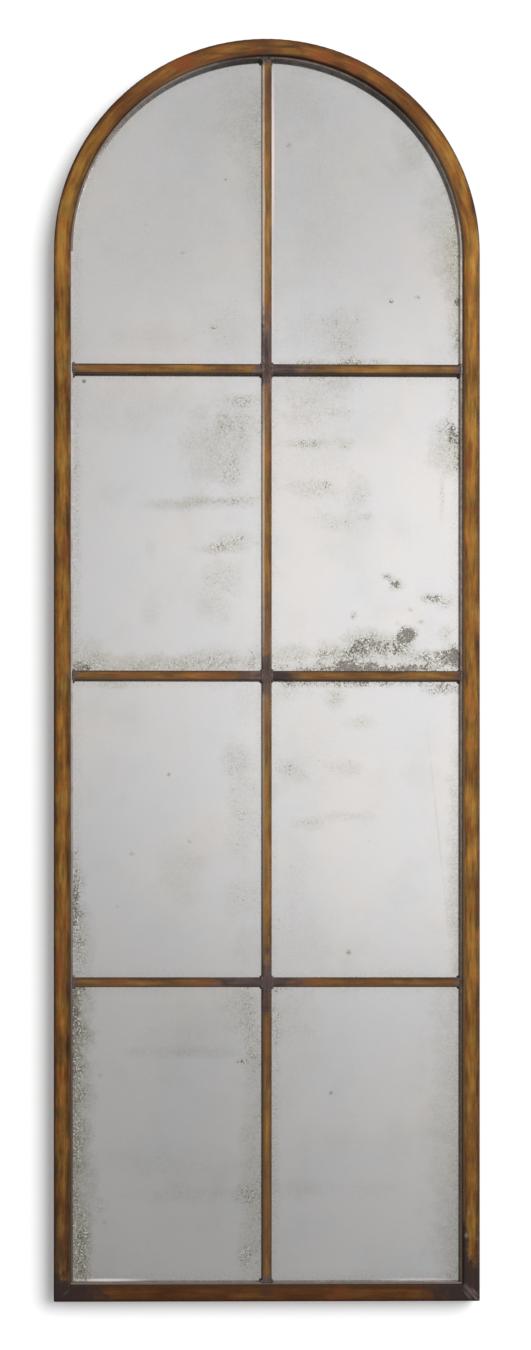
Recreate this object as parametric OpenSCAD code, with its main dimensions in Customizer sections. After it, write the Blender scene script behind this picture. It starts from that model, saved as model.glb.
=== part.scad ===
// Arched wall mirror: a bronzed steel frame with a window-pane grille and eight mirror panes.
// Millimetres. +X right, +Z up, front faces -Y. The origin is the middle of the bottom edge.

/* [Frame] */
// Width over the two stiles, which is also twice the outer radius of the arch
overall_w = 635; // [560:1:720]
// Height from the underside of the bottom rail to the crown
overall_h = 1880; // [1700:1:2050]
// Face and depth of the square tube that the frame is made of
rail_w = 25.4; // [24:0.1:32]
// Wall of the frame tube
rail_wall = 1.6; // [1.2:0.1:2.4]
// Outer corner radius of the frame tube
rail_corner_r = 3; // [1.4:0.1:3.6]
// Weld metal between two butted frame tubes, ground flush
butt_weld_t = 1; // [0.5:0.1:2]
// Radius ground on the two bottom corners of the frame
ground_r = 2.5; // [1:0.1:3.5]

/* [Grille] */
// Width of the glazing bars, seen from the front
bar_w = 14.5; // [11:0.1:18]
// Depth of the glazing bars, and of the strip that lines the frame
bar_d = 12.7; // [10:0.1:13.5]
// Wall of the glazing bars
bar_wall = 1.2; // [0.8:0.1:2]
// Outer corner radius of the glazing bars
bar_corner_r = 2; // [1:0.1:2.6]
// Middle of the upper crossbar below the spring line of the arch
upper_bar_drop = 173.4; // [120:0.1:240]
// Thickness of the flat strip that lines the frame and stops the glass
stop_t = 3; // [2:0.1:5]

/* [Welds on the grille] */
// Leg of the fillet in each inner corner of a joint
bead_leg = 4; // [2.5:0.1:6]
// How far the bead stands in front of the bars
bead_proud = 0.8; // [0.4:0.1:1.5]
// How far the bead laps over a bar on each side of the seam
bead_lap = 3.5; // [2.6:0.1:6]

/* [Glass and backing] */
// Thickness of the mirror panes
glass_t = 4; // [3:0.1:5]
// Thickness of the backing board
board_t = 4; // [3:0.1:5]
// Play between the frame and the edges of the panes and board
edge_clear = 1; // [0.5:0.1:2]
// Gap between two panes, behind a bar
pane_gap = 2; // [1:0.1:4]

/* [Clips] */
// Width of a clip
clip_w = 12; // [10:0.1:16]
// Thickness of a clip
clip_t = 1.5; // [1:0.1:2.5]
// How far a clip reaches over the backing board
clip_bite = 12; // [6:0.1:20]
// Clips on each stile
stile_clips = 5; // [3:1:7]
// Height of the lowest clip on a stile
first_clip_z = 150; // [110:1:220]
// Highest clip on a stile, below the spring line
last_clip_drop = 212; // [180:1:260]
// Clips on the arch
arch_clips = 5; // [3:1:7]
// Angle of the first arch clip above the spring line
first_arch_clip = 20; // [15:1:30]
// Distance of the two bottom clips from the middle
bottom_clip_x = 150; // [80:1:220]

/* [Screws] */
// Radius of the screw shank
screw_r = 2; // [1.5:0.1:2.5]
// Length of the shank under the head
screw_len = 9; // [6:0.1:14]
// Radius of the screw head
head_r = 4; // [3.5:0.1:4.5]
// Height of the screw head
head_h = 2.2; // [1.6:0.1:3]
// Play round a shank in its hole
screw_clear = 0.15; // [0.05:0.01:0.3]
// Width of the cross recess in the head
recess_w = 1; // [0.6:0.1:1.4]
// Depth of the cross recess
recess_d = 1.1; // [0.6:0.1:1.4]
// Length of each arm pair of the cross recess, tip to tip
recess_len = 4.4; // [3:0.1:5.5]

/* [Hangers] */
// Height of the hinge line below the spring line
hanger_drop = 60; // [40:1:80]
// Width of the strap and of the eye rolled at its top
strap_w = 14; // [10:0.1:15]
// Thickness of the strap
strap_t = 1.2; // [1:0.1:2]
// Length of the strap below the hinge line
strap_len = 58; // [56:0.5:70]
// First screw below the hinge line
strap_hole_drop = 31; // [30:0.5:34]
// Distance between the two screws of a strap
strap_hole_pitch = 17; // [12:0.5:18]
// Radius of the ring's wire
wire_r = 1.5; // [1.2:0.1:1.9]
// Radial running clearance of the wire in the eye
eye_clear = 0.08; // [0.05:0.01:0.1]
// Gap between the rolled eye and the frame behind it
eye_lift = 0.3; // [0.2:0.1:1]
// Gap between the strap's edge and a leg of the ring
leg_clear = 1; // [0.6:0.1:1.4]
// Bend radius of the ring's two corners
ring_bend_r = 2.4; // [2:0.1:2.5]
// Distance from the hinge line to the middle of the ring's round end
ring_leg = 8; // [5:0.1:9]

/* [Wall bumpers] */
// Radius of a rubber bumper
bumper_r = 6; // [4:0.1:9]
// Thickness of a bumper, which holds the frame off the wall
bumper_h = 8; // [7:0.1:14]
// Height of the lower bumpers
lower_bumper_z = 70; // [50:1:90]
// Upper bumpers below the spring line
upper_bumper_drop = 320; // [290:1:340]

/* [Hidden] */
$fn = 64;
// Facets of the arch's circles, finer because the arch is large
arch_fn = 256;

bronze = "#8f6a3c";
dark_bronze = "#5d4630";
weld_grey = "#6a5c58";
silver = "#c9c9c5";
board_brown = "#7a5a3c";
zinc = "#a3a6a8";
rubber_black = "#26262a";

// Depth planes, from the front of the frame to the wall
front_y = -(rail_w + bumper_h) / 2;
back_y = front_y + rail_w;
glass_back_y = back_y - board_t;
glass_front_y = glass_back_y - glass_t;
bar_front_y = glass_front_y - bar_d;

// Widths and radii, from the outside in
outer_r = overall_w / 2;
rail_in_r = outer_r - rail_w;
rail_mid_r = outer_r - rail_w / 2;
stop_in_r = rail_in_r - stop_t;

// Heights
spring_z = overall_h - outer_r;
stop_top_z = rail_w + stop_t;
upper_bar_z = spring_z - upper_bar_drop;
rows_below = 3;
row_pitch = (upper_bar_z + bar_w / 2 - rail_w) / rows_below;
bar_zs = [for (i = [0 : rows_below - 1]) upper_bar_z - i * row_pitch];
hinge_z = spring_z - hanger_drop;

// Half of the slanted gap that the corner weld fills, measured upwards
mitre_rise = butt_weld_t / sqrt(2);
// Reach past a face, for cutting shapes
over = 5;
// Smallest radius of a tube's inner corners, for a wall thicker than the outer radius
inner_r_min = 0.2;

// Hangers
eye_in_r = wire_r + eye_clear;
eye_out_r = eye_in_r + strap_t;
hinge_y = back_y + eye_lift + eye_out_r;
ring_half_w = strap_w / 2 + leg_clear + wire_r;

// Height of clip number i on a stile
function stile_clip_z(i) =
    first_clip_z + i * (spring_z - last_clip_drop - first_clip_z) / (stile_clips - 1);

// Angle of clip number i on the arch
function arch_clip_a(i) = first_arch_clip + i * (180 - 2 * first_arch_clip) / (arch_clips - 1);

// Each clip as the place of its screw and the direction in which it points
clip_spots = concat(
    [for (i = [0 : stile_clips - 1]) [-rail_mid_r, stile_clip_z(i), 0]],
    [for (i = [0 : stile_clips - 1]) [rail_mid_r, stile_clip_z(i), 180]],
    [for (i = [0 : arch_clips - 1])
        [rail_mid_r * cos(arch_clip_a(i)), spring_z + rail_mid_r * sin(arch_clip_a(i)),
            arch_clip_a(i) + 180]],
    [for (side = [-1, 1]) [side * bottom_clip_x, rail_w / 2, 90]]);

// Heights of the two screws of a strap
strap_screw_zs = [hinge_z - strap_hole_drop, hinge_z - strap_hole_drop - strap_hole_pitch];

// A shape drawn in the front view, X right and Z up, given the depth t behind the plane y
module slab(y, t) {
    translate([0, y + t, 0])
        rotate([90, 0, 0])
            linear_extrude(t) children();
}

// A section drawn with the frame's depth along Y, run up from z
module upright(z, h) {
    translate([0, 0, z])
        linear_extrude(h) children();
}

// A section drawn with depth to the right and Z up, run along X from x
module along_x(x, len) {
    translate([x, 0, 0])
        rotate([90, 0, 90])
            linear_extrude(len) children();
}

// Rectangle with round corners, centred, w to the right and d up
module round_rect(w, d, r) {
    square([w, d - 2 * r], center = true);
    square([w - 2 * r, d], center = true);
    for (x = [-1, 1], y = [-1, 1])
        translate([x * (w / 2 - r), y * (d / 2 - r)])
            circle(r);
}

// Section of a tube, centred
module tube_section(w, d, wall, r) {
    difference() {
        round_rect(w, d, r);
        round_rect(w - 2 * wall, d - 2 * wall, max(r - wall, inner_r_min));
    }
}

module rail_section() {
    tube_section(rail_w, rail_w, rail_wall, rail_corner_r);
}

// Its width lies to the right and its depth up
module bar_section() {
    tube_section(bar_w, bar_d, bar_wall, bar_corner_r);
}

// Upper half of a ring round the arch's centre, with its section at distance r from the centre
module arch_sweep(y) {
    translate([0, y, spring_z])
        rotate([90, 0, 0])
            rotate_extrude(angle = 180, $fn = arch_fn) children();
}

// Outline of the space inside the frame, drawn in from the frame's outer edge by inset
module arch_outline(inset) {
    r = outer_r - inset;
    translate([0, spring_z])
        circle(r, $fn = arch_fn);
    translate([-r, inset])
        square([2 * r, spring_z - inset]);
}

// Holes for the clip and hanger screws through the back wall of the frame tube
module screw_holes() {
    for (spot = clip_spots)
        screw_hole(spot[0], spot[1]);
    for (side = [-1, 1], z = strap_screw_zs)
        screw_hole(side * rail_mid_r, z);
}

module screw_hole(x, z) {
    translate([x, back_y + over, z])
        rotate([90, 0, 0])
            cylinder(r = screw_r + screw_clear, h = rail_wall + 2 * over);
}

// Tube of the stile on one side, before its lower end is mitred
module stile_tube(side, h) {
    translate([side * rail_mid_r, (front_y + back_y) / 2, 0])
        upright(0, h) rail_section();
}

// Tube of the bottom rail, before its ends are mitred
module bottom_tube() {
    translate([0, (front_y + back_y) / 2, rail_w / 2])
        along_x(-outer_r, overall_w) rail_section();
}

// Everything on the bottom rail's side of the two mitres, moved up by rise
module below_mitres(rise) {
    half = outer_r - rise;
    slab(front_y - over, rail_w + 2 * over)
        polygon([[-half, 0], [half, 0], [half - rail_w - over, rail_w + over],
            [-half + rail_w + over, rail_w + over]]);
}

// Everything but what is ground off the two bottom corners
module ground_outline() {
    slab(front_y - over, rail_w + 2 * over) {
        translate([-outer_r, ground_r])
            square([overall_w, overall_h]);
        translate([ground_r - outer_r, 0])
            square([overall_w - 2 * ground_r, rail_w]);
        for (side = [-1, 1])
            translate([side * (outer_r - ground_r), ground_r])
                circle(ground_r);
    }
}

module stile(side) {
    difference() {
        intersection() {
            stile_tube(side, spring_z - butt_weld_t);
            ground_outline();
        }
        below_mitres(-mitre_rise);
        screw_holes();
    }
}

module left_stile() {
    color(bronze) stile(-1);
}

module right_stile() {
    color(bronze) stile(1);
}

module bottom_rail() {
    color(bronze)
        difference() {
            intersection() {
                bottom_tube();
                below_mitres(mitre_rise);
                ground_outline();
            }
            screw_holes();
        }
}

module arch_rail() {
    color(bronze)
        difference() {
            arch_sweep((front_y + back_y) / 2)
                translate([rail_mid_r, 0]) rail_section();
            screw_holes();
        }
}

// Weld metal between the mitred ends at the two bottom corners
module corner_welds() {
    color(weld_grey)
        for (side = [-1, 1])
            union() {
                intersection() {
                    stile_tube(side, rail_w + over);
                    ground_outline();
                    difference() {
                        below_mitres(-mitre_rise);
                        below_mitres(0);
                    }
                }
                intersection() {
                    bottom_tube();
                    ground_outline();
                    difference() {
                        below_mitres(0);
                        below_mitres(mitre_rise);
                    }
                    translate([side * outer_r, 0, 0])
                        cube(2 * (rail_w + over), center = true);
                }
            }
}

// Weld metal between the stiles and the arch
module arch_joint_welds() {
    color(weld_grey)
        for (side = [-1, 1])
            translate([0, 0, spring_z - butt_weld_t])
                stile_tube(side, butt_weld_t);
}

// Flat strip on one stile, standing on the bottom strip
module side_stop(side) {
    x = side > 0 ? stop_in_r : -rail_in_r;
    translate([x, bar_front_y, stop_top_z])
        cube([stop_t, bar_d, spring_z - stop_top_z]);
}

module left_glass_stop() {
    color(dark_bronze) side_stop(-1);
}

module right_glass_stop() {
    color(dark_bronze) side_stop(1);
}

module bottom_glass_stop() {
    color(dark_bronze)
        translate([-rail_in_r, bar_front_y, rail_w])
            cube([2 * rail_in_r, bar_d, stop_t]);
}

module arch_glass_stop() {
    color(dark_bronze)
        arch_sweep(bar_front_y + bar_d / 2)
            translate([stop_in_r, -bar_d / 2]) square([stop_t, bar_d]);
}

// Middle bar, its upper end shaped to the arch
module mullion() {
    color(bronze)
        intersection() {
            translate([0, bar_front_y + bar_d / 2, 0])
                upright(stop_top_z, overall_h - stop_top_z) bar_section();
            slab(bar_front_y - over, bar_d + 2 * over)
                arch_outline(rail_w + stop_t);
        }
}

// Short bar between the mullion and a side strip, in row i counted from the top
module crossbar(side, i) {
    len = stop_in_r - bar_w / 2;
    color(bronze)
        translate([side > 0 ? bar_w / 2 : -stop_in_r, bar_front_y + bar_d / 2, bar_zs[i]])
            along_x(0, len) rotate(90) bar_section();
}

// Corner of a fillet, its legs pointing to dx and dz
module fillet_corner(dx, dz) {
    polygon([[0, 0], [dx * bead_leg, 0], [0, dz * bead_leg]]);
}

// Fillet in a corner at [x, z], over the bar's depth
module fillet(x, z, dx, dz) {
    slab(bar_front_y, bar_d)
        translate([x, z]) fillet_corner(dx, dz);
}

// Weld round the seam at x where the crossbar at height z starts and runs towards dir:
// a bead over the front, which laps back over the other piece, and a fillet above and below
module seam_weld(x, z, dir, back_lap) {
    slab(bar_front_y - bead_proud, bead_proud)
        translate([x, z]) {
            translate([dir > 0 ? -back_lap : -bead_lap, -bar_w / 2])
                square([back_lap + bead_lap, bar_w]);
            for (dz = [-1, 1])
                translate([0, dz * bar_w / 2]) fillet_corner(dir, dz);
        }
    for (dz = [-1, 1])
        fillet(x, z + dz * bar_w / 2, dir, dz);
}

// The two welds of one crossing, where the crossbars meet the mullion
module crossing_weld(i) {
    color(weld_grey)
        for (dir = [-1, 1])
            seam_weld(dir * bar_w / 2, bar_zs[i], dir, bead_lap);
}

// Welds where the crossbars meet the side strips
module crossbar_end_welds() {
    color(weld_grey)
        for (side = [-1, 1], z = bar_zs)
            seam_weld(side * stop_in_r, z, -side, stop_t);
}

// Beads beside the two ends of the mullion
module mullion_end_welds() {
    color(weld_grey)
        for (dx = [-1, 1]) {
            fillet(dx * bar_w / 2, stop_top_z, dx, 1);
            intersection() {
                slab(bar_front_y, bar_d)
                    translate([dx * bar_w / 2, spring_z + stop_in_r])
                        polygon([[0, over], [dx * bead_leg, over], [dx * bead_leg, 0],
                            [0, -bead_leg]]);
                slab(bar_front_y - over, bar_d + 2 * over)
                    arch_outline(rail_w + stop_t);
            }
        }
}

// One pane, the part of the glazing outline on its side and between two heights
module pane(side, z_low, z_high) {
    color(silver)
        slab(glass_front_y, glass_t)
            intersection() {
                arch_outline(rail_w + edge_clear);
                translate([side > 0 ? pane_gap / 2 : -outer_r, z_low])
                    square([outer_r - pane_gap / 2, z_high - z_low]);
            }
}

// Pane in row i counted from the arch down
module row_pane(side, i) {
    z_low = i < rows_below ? bar_zs[i] + pane_gap / 2 : 0;
    z_high = i > 0 ? bar_zs[i - 1] - pane_gap / 2 : overall_h;
    pane(side, z_low, z_high);
}

module backing_board() {
    color(board_brown)
        slab(glass_back_y, board_t)
            arch_outline(rail_w + edge_clear);
}

// Flat tab with round ends, from behind its screw to over the backing board
module clip() {
    len = rail_w / 2 + edge_clear + clip_bite - clip_w / 2;
    slab(back_y, clip_t)
        difference() {
            union() {
                translate([0, -clip_w / 2])
                    square([len, clip_w]);
                for (x = [0, len])
                    translate([x, 0])
                        circle(clip_w / 2);
            }
            circle(screw_r + screw_clear);
        }
}

module board_clips() {
    color(zinc)
        for (spot = clip_spots)
            translate([spot[0], 0, spot[1]])
                rotate([0, -spot[2], 0])
                    clip();
}

// Pan head screw with its head's underside on the plane y
module screw(x, y, z) {
    dome_r = 2 * head_r;
    translate([x, y, z])
        rotate([-90, 0, 0]) {
            difference() {
                intersection() {
                    cylinder(r = head_r, h = head_h);
                    translate([0, 0, head_h - dome_r])
                        sphere(dome_r);
                }
                for (a = [0, 90])
                    rotate([0, 0, a])
                        translate([-recess_len / 2, -recess_w / 2, head_h - recess_d])
                            cube([recess_len, recess_w, recess_d + over]);
            }
            translate([0, 0, -screw_len])
                cylinder(r = screw_r, h = screw_len);
        }
}

module clip_screws() {
    color(zinc)
        for (spot = clip_spots)
            screw(spot[0], back_y + clip_t, spot[1]);
}

// Strap with a rolled eye at its top, flat on the back of a stile
module hanger_strap(side) {
    color(zinc)
        translate([side * rail_mid_r, 0, hinge_z]) {
            along_x(-strap_w / 2, strap_w)
                difference() {
                    union() {
                        translate([hinge_y, 0])
                            circle(eye_out_r);
                        translate([back_y, -eye_out_r])
                            square([strap_t, eye_out_r]);
                    }
                    translate([hinge_y, 0])
                        circle(eye_in_r);
                }
            slab(back_y, strap_t)
                difference() {
                    union() {
                        translate([-strap_w / 2, strap_w / 2 - strap_len])
                            square([strap_w, strap_len - strap_w / 2 - eye_out_r]);
                        translate([0, strap_w / 2 - strap_len])
                            circle(strap_w / 2);
                    }
                    for (z = strap_screw_zs)
                        translate([0, z - hinge_z])
                            circle(screw_r + screw_clear);
                }
        }
}

module left_hanger_strap() {
    hanger_strap(-1);
}

module right_hanger_strap() {
    hanger_strap(1);
}

// Length of wire bent through angle round [x, z], starting at the angle from
module wire_bend(x, z, r, from, angle) {
    translate([x, 0, z])
        rotate([90, 0, 0])
            rotate([0, 0, from])
                rotate_extrude(angle = angle)
                    translate([r, 0]) circle(wire_r);
}

// D ring hanging from its straight bar, which turns in the eye of the strap
module hanger_ring(side) {
    bar_half = ring_half_w - ring_bend_r;
    color(zinc)
        translate([side * rail_mid_r, hinge_y, hinge_z]) {
            translate([-bar_half, 0, 0])
                rotate([0, 90, 0])
                    cylinder(r = wire_r, h = 2 * bar_half);
            wire_bend(bar_half, -ring_bend_r, ring_bend_r, 0, 90);
            wire_bend(-bar_half, -ring_bend_r, ring_bend_r, 90, 90);
            for (x = [-ring_half_w, ring_half_w])
                translate([x, 0, -ring_leg])
                    cylinder(r = wire_r, h = ring_leg - ring_bend_r);
            wire_bend(0, -ring_leg, ring_half_w, 180, 180);
        }
}

module left_hanger_ring() {
    hanger_ring(-1);
}

module right_hanger_ring() {
    hanger_ring(1);
}

module hanger_screws() {
    color(zinc)
        for (side = [-1, 1], z = strap_screw_zs)
            screw(side * rail_mid_r, back_y + strap_t, z);
}

module wall_bumpers() {
    color(rubber_black)
        for (side = [-1, 1], z = [lower_bumper_z, spring_z - upper_bumper_drop])
            translate([side * rail_mid_r, back_y, z])
                rotate([-90, 0, 0])
                    cylinder(r = bumper_r, h = bumper_h);
}

arch_rail();
left_stile();
right_stile();
bottom_rail();
corner_welds();
arch_joint_welds();
arch_glass_stop();
left_glass_stop();
right_glass_stop();
bottom_glass_stop();
mullion();
crossbar(-1, 0);  // upper_left_crossbar
crossbar(1, 0);  // upper_right_crossbar
crossbar(-1, 1);  // middle_left_crossbar
crossbar(1, 1);  // middle_right_crossbar
crossbar(-1, 2);  // lower_left_crossbar
crossbar(1, 2);  // lower_right_crossbar
crossing_weld(0);  // upper_crossing_weld
crossing_weld(1);  // middle_crossing_weld
crossing_weld(2);  // lower_crossing_weld
crossbar_end_welds();
mullion_end_welds();
row_pane(-1, 0);  // arch_left_pane
row_pane(1, 0);  // arch_right_pane
row_pane(-1, 1);  // upper_left_pane
row_pane(1, 1);  // upper_right_pane
row_pane(-1, 2);  // middle_left_pane
row_pane(1, 2);  // middle_right_pane
row_pane(-1, 3);  // lower_left_pane
row_pane(1, 3);  // lower_right_pane
backing_board();
board_clips();
clip_screws();
left_hanger_strap();
right_hanger_strap();
left_hanger_ring();
right_hanger_ring();
hanger_screws();
wall_bumpers();
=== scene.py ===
"""Arched wall mirror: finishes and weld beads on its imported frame, and the studio it is seen in.

Metres. +X right, +Z up, the front faces -Y. The origin is the middle of the bottom edge. Places
on the mirror are written in millimetres, x from the middle line and z from the bottom edge.
"""

import logging
import math
from dataclasses import dataclass, field
from enum import Enum

import bpy
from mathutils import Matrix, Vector


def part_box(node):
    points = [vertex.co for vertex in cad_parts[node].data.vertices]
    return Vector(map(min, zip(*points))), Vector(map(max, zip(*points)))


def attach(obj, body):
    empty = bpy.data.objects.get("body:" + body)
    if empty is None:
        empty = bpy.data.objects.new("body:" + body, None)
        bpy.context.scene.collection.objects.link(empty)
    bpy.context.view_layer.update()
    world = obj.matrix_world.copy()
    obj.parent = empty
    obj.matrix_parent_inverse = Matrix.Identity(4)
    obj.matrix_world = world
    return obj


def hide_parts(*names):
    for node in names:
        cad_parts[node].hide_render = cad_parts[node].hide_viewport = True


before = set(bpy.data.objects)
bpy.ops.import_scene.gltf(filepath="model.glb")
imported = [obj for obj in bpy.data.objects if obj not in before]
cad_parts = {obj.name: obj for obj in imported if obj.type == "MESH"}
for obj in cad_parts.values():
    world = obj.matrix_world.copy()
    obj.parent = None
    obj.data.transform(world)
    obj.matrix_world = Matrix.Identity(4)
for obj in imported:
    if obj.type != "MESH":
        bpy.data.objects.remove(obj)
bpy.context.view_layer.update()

LOG = logging.getLogger("arched_mirror")
MM = 0.001
# Reach of a patch through the depth of the mirror, far past its front and back
THROUGH = 1000.0

Colour = tuple[float, float, float, float]
Place = tuple[float, float, float]
Socket = bpy.types.NodeSocket
Value = Socket | float | Colour | Place


def tone(red: int, green: int, blue: int) -> Colour:
    """Turn a colour as a screen shows it into linear light.

    Args:
        red: share of red, 0 to 255.
        green: share of green, 0 to 255.
        blue: share of blue, 0 to 255.

    Returns:
        The linear colour, fully opaque.
    """
    shares = (value / 255 for value in (red, green, blue))
    linear = [s / 12.92 if s < 0.04045 else ((s + 0.055) / 1.055) ** 2.4 for s in shares]
    return (linear[0], linear[1], linear[2], 1.0)


class Side(Enum):
    """A side of the mirror as its viewer sees it."""

    LEFT = -1
    RIGHT = 1

    @property
    def label(self) -> str:
        """The side's word in the names of nodes."""
        return self.name.lower()


class Row(Enum):
    """A row of crossbars, counted from the top."""

    UPPER = 0
    MIDDLE = 1
    LOWER = 2

    @property
    def label(self) -> str:
        """The row's word in the names of nodes."""
        return self.name.lower()


class Run(Enum):
    """How a tube runs, which sets what lies along it and what lies across it."""

    HOOP = "up one stile, over the arch and down the other stile"
    LEVEL = "left to right"
    UPRIGHT = "bottom to top"


@dataclass(frozen=True)
class Layout:
    """Sizes that the finishes and the new pieces share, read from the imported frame.

    Attributes:
        outer_r: outer radius of the arch and half the overall width.
        rail_w: face of the frame's tube.
        spring_z: height at which the arch starts.
        front_y: front of the frame.
        back_y: back of the frame.
        wall_y: the wall, behind the bumpers.
        stop_in_r: inner radius of the strip that lines the frame.
        stop_top_z: top of the strip on the bottom rail.
        bar_half: half the face of a glazing bar.
        bar_front_y: front of the glazing bars.
        glass_y: front of the panes.
        bar_zs: heights of the three rows of crossbars, from the top.
    """

    outer_r: float
    rail_w: float
    spring_z: float
    front_y: float
    back_y: float
    wall_y: float
    stop_in_r: float
    stop_top_z: float
    bar_half: float
    bar_front_y: float
    glass_y: float
    bar_zs: tuple[float, ...]

    @classmethod
    def from_frame(cls) -> "Layout":
        """Read the sizes off the boxes of the CAD nodes.

        Returns:
            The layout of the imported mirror.
        """
        stile_low, stile_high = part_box("right_stile")
        mullion_low, mullion_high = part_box("mullion")
        rows = (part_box(f"{row.label}_left_crossbar") for row in Row)
        return cls(
            outer_r=stile_high.x,
            rail_w=stile_high.x - stile_low.x,
            spring_z=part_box("arch_rail")[0].z,
            front_y=stile_low.y,
            back_y=stile_high.y,
            wall_y=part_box("wall_bumpers")[1].y,
            stop_in_r=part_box("right_glass_stop")[0].x,
            stop_top_z=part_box("bottom_glass_stop")[1].z,
            bar_half=mullion_high.x,
            bar_front_y=mullion_low.y,
            glass_y=mullion_high.y,
            bar_zs=tuple((low.z + high.z) / 2 for low, high in rows),
        )

    @property
    def rail_mid(self) -> float:
        """Radius of the middle of the frame's face."""
        return self.outer_r - self.rail_w / 2

    @property
    def bar_end(self) -> float:
        """Distance from the middle line to the outer end of a crossbar, in mm."""
        return self.stop_in_r / MM

    @property
    def crown(self) -> float:
        """Height at which the mullion meets the arch, in mm."""
        return (self.spring_z + self.stop_in_r) / MM

    def bar_height(self, row: Row) -> float:
        """Height of a row of crossbars, in mm."""
        return self.bar_zs[row.value] / MM


@dataclass(frozen=True)
class Spot:
    """A soft-edged place on the mirror, such as a heat tint or a patch of lost silver.

    Attributes:
        x: middle of the spot, in mm.
        z: height of the spot, in mm.
        rx: reach to the left and right, in mm.
        rz: reach up and down, in mm.
        strength: how strong it is at its middle, 0 to 1.
        turn: how far it is turned to the left, in degrees.
    """

    x: float
    z: float
    rx: float
    rz: float
    strength: float = 1.0
    turn: float = field(default=0.0, kw_only=True)


@dataclass(frozen=True)
class Foxing(Spot):
    """A spot where the silver behind the glass has gone.

    Attributes:
        specks: share of dark specks in it, 0 to 1, beside the grey haze of its strength.
    """

    specks: float = 0.0


class Graph:
    """A node tree, with one short call for each kind of node that the finishes use."""

    def __init__(self, tree: bpy.types.NodeTree) -> None:
        """Take over the node tree of a material, a world or a group and empty it."""
        self.tree = tree
        tree.nodes.clear()

    def node(self, kind: str, **settings: object) -> bpy.types.Node:
        """Add a node.

        Args:
            kind: the node's type, without the word ShaderNode.
            settings: properties to set on it.

        Returns:
            The new node.
        """
        made = self.tree.nodes.new("ShaderNode" + kind)
        for name, value in settings.items():
            setattr(made, name, value)
        return made

    def put(self, socket: Socket, value: Value) -> None:
        """Feed an input.

        Args:
            socket: the input.
            value: a socket to link to it, or a constant to write into it.
        """
        if isinstance(value, bpy.types.NodeSocket):
            self.tree.links.new(value, socket)
        else:
            socket.default_value = value

    def fill(self, made: bpy.types.Node, values: dict[str, Value]) -> bpy.types.Node:
        """Feed several inputs of a node by name.

        Args:
            made: the node.
            values: a value for each input's name.

        Returns:
            The same node.
        """
        for name, value in values.items():
            self.put(made.inputs[name], value)
        return made

    def math(self, operation: str, *values: Value, clamp: bool = False) -> Socket:
        """Add a Math node.

        Args:
            operation: its operation.
            values: its inputs, in order.
            clamp: whether the result is kept from 0 to 1.

        Returns:
            Its result.
        """
        made = self.node("Math", operation=operation, use_clamp=clamp)
        for socket, value in zip(made.inputs, values):
            self.put(socket, value)
        return made.outputs[0]

    def fold(self, operation: str, values: tuple[Value, ...]) -> Value:
        """Join values by one operation, each to the result so far.

        Args:
            operation: the operation of the Math nodes.
            values: the values.

        Returns:
            The result.
        """
        result = values[0]
        for value in values[1:]:
            result = self.math(operation, result, value)
        return result

    def total(self, *values: Value) -> Value:
        """Add values up."""
        return self.fold("ADD", values)

    def product(self, *values: Value) -> Value:
        """Multiply values."""
        return self.fold("MULTIPLY", values)

    def most(self, *values: Value) -> Value:
        """Take the largest of several values."""
        return self.fold("MAXIMUM", values)

    def least(self, *values: Value) -> Value:
        """Take the smallest of several values."""
        return self.fold("MINIMUM", values)

    def less(self, value: Value, taken: Value) -> Socket:
        """Take one value from another."""
        return self.math("SUBTRACT", value, taken)

    def vector(self, operation: str, *values: Value) -> Socket:
        """Add a Vector Math node.

        Args:
            operation: its operation.
            values: its vectors, in order.

        Returns:
            Its vector, or its number where the operation gives one.
        """
        made = self.node("VectorMath", operation=operation)
        for socket, value in zip(made.inputs, values):
            self.put(socket, value)
        return made.outputs["Value" if operation in ("LENGTH", "DISTANCE") else "Vector"]

    def ramp(self, value: Value, start: float, end: float, low: Value = 0.0,
             high: Value = 1.0) -> Socket:
        """Turn a value smoothly from one number into another.

        Args:
            value: what is read.
            start: the reading at which the result is low.
            end: the reading at which it is high.
            low: the first number.
            high: the second number.

        Returns:
            The smooth step between them.
        """
        made = self.node("MapRange", interpolation_type="SMOOTHSTEP")
        return self.fill(made, {"Value": value, "From Min": start, "From Max": end,
                                "To Min": low, "To Max": high}).outputs[0]

    def mix(self, share: Value, first: Value, second: Value) -> Socket:
        """Mix two colours.

        Args:
            share: how much of the second shows.
            first: the first colour.
            second: the second colour.

        Returns:
            The mixed colour.
        """
        made = self.node("Mix", data_type="RGBA")
        for socket, value in zip((made.inputs[0], made.inputs[6], made.inputs[7]),
                                 (share, first, second)):
            self.put(socket, value)
        return made.outputs[2]

    def noise(self, vector: Socket, scale: float, detail: float = 2.0,
              roughness: float = 0.5) -> Socket:
        """Add a noise.

        Args:
            vector: the place that it reads.
            scale: waves in a metre.
            detail: how many finer layers it has.
            roughness: how strong the finer layers are.

        Returns:
            The noise, around 0.5.
        """
        made = self.node("TexNoise")
        return self.fill(made, {"Vector": vector, "Scale": scale, "Detail": detail,
                                "Roughness": roughness}).outputs[0]

    def sway(self, noise: Socket, amount: float) -> Socket:
        """Centre a noise on 0 and scale it."""
        return self.math("MULTIPLY_ADD", noise, amount, -amount / 2)

    def colours(self, value: Value, stops: dict[float, Colour]) -> Socket:
        """Look a colour up on a scale.

        Args:
            value: the place on the scale, 0 to 1.
            stops: a colour for each place.

        Returns:
            The colour there.
        """
        made = self.node("ValToRGB")
        band = made.color_ramp.elements
        while len(band) < len(stops):
            band.new(1.0)
        for element, (place, colour) in zip(band, sorted(stops.items())):
            element.position = place
            element.color = colour
        self.put(made.inputs[0], value)
        return made.outputs[0]

    def place(self) -> Socket:
        """The place on the piece, in metres."""
        return self.node("TexCoord").outputs["Object"]

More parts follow.
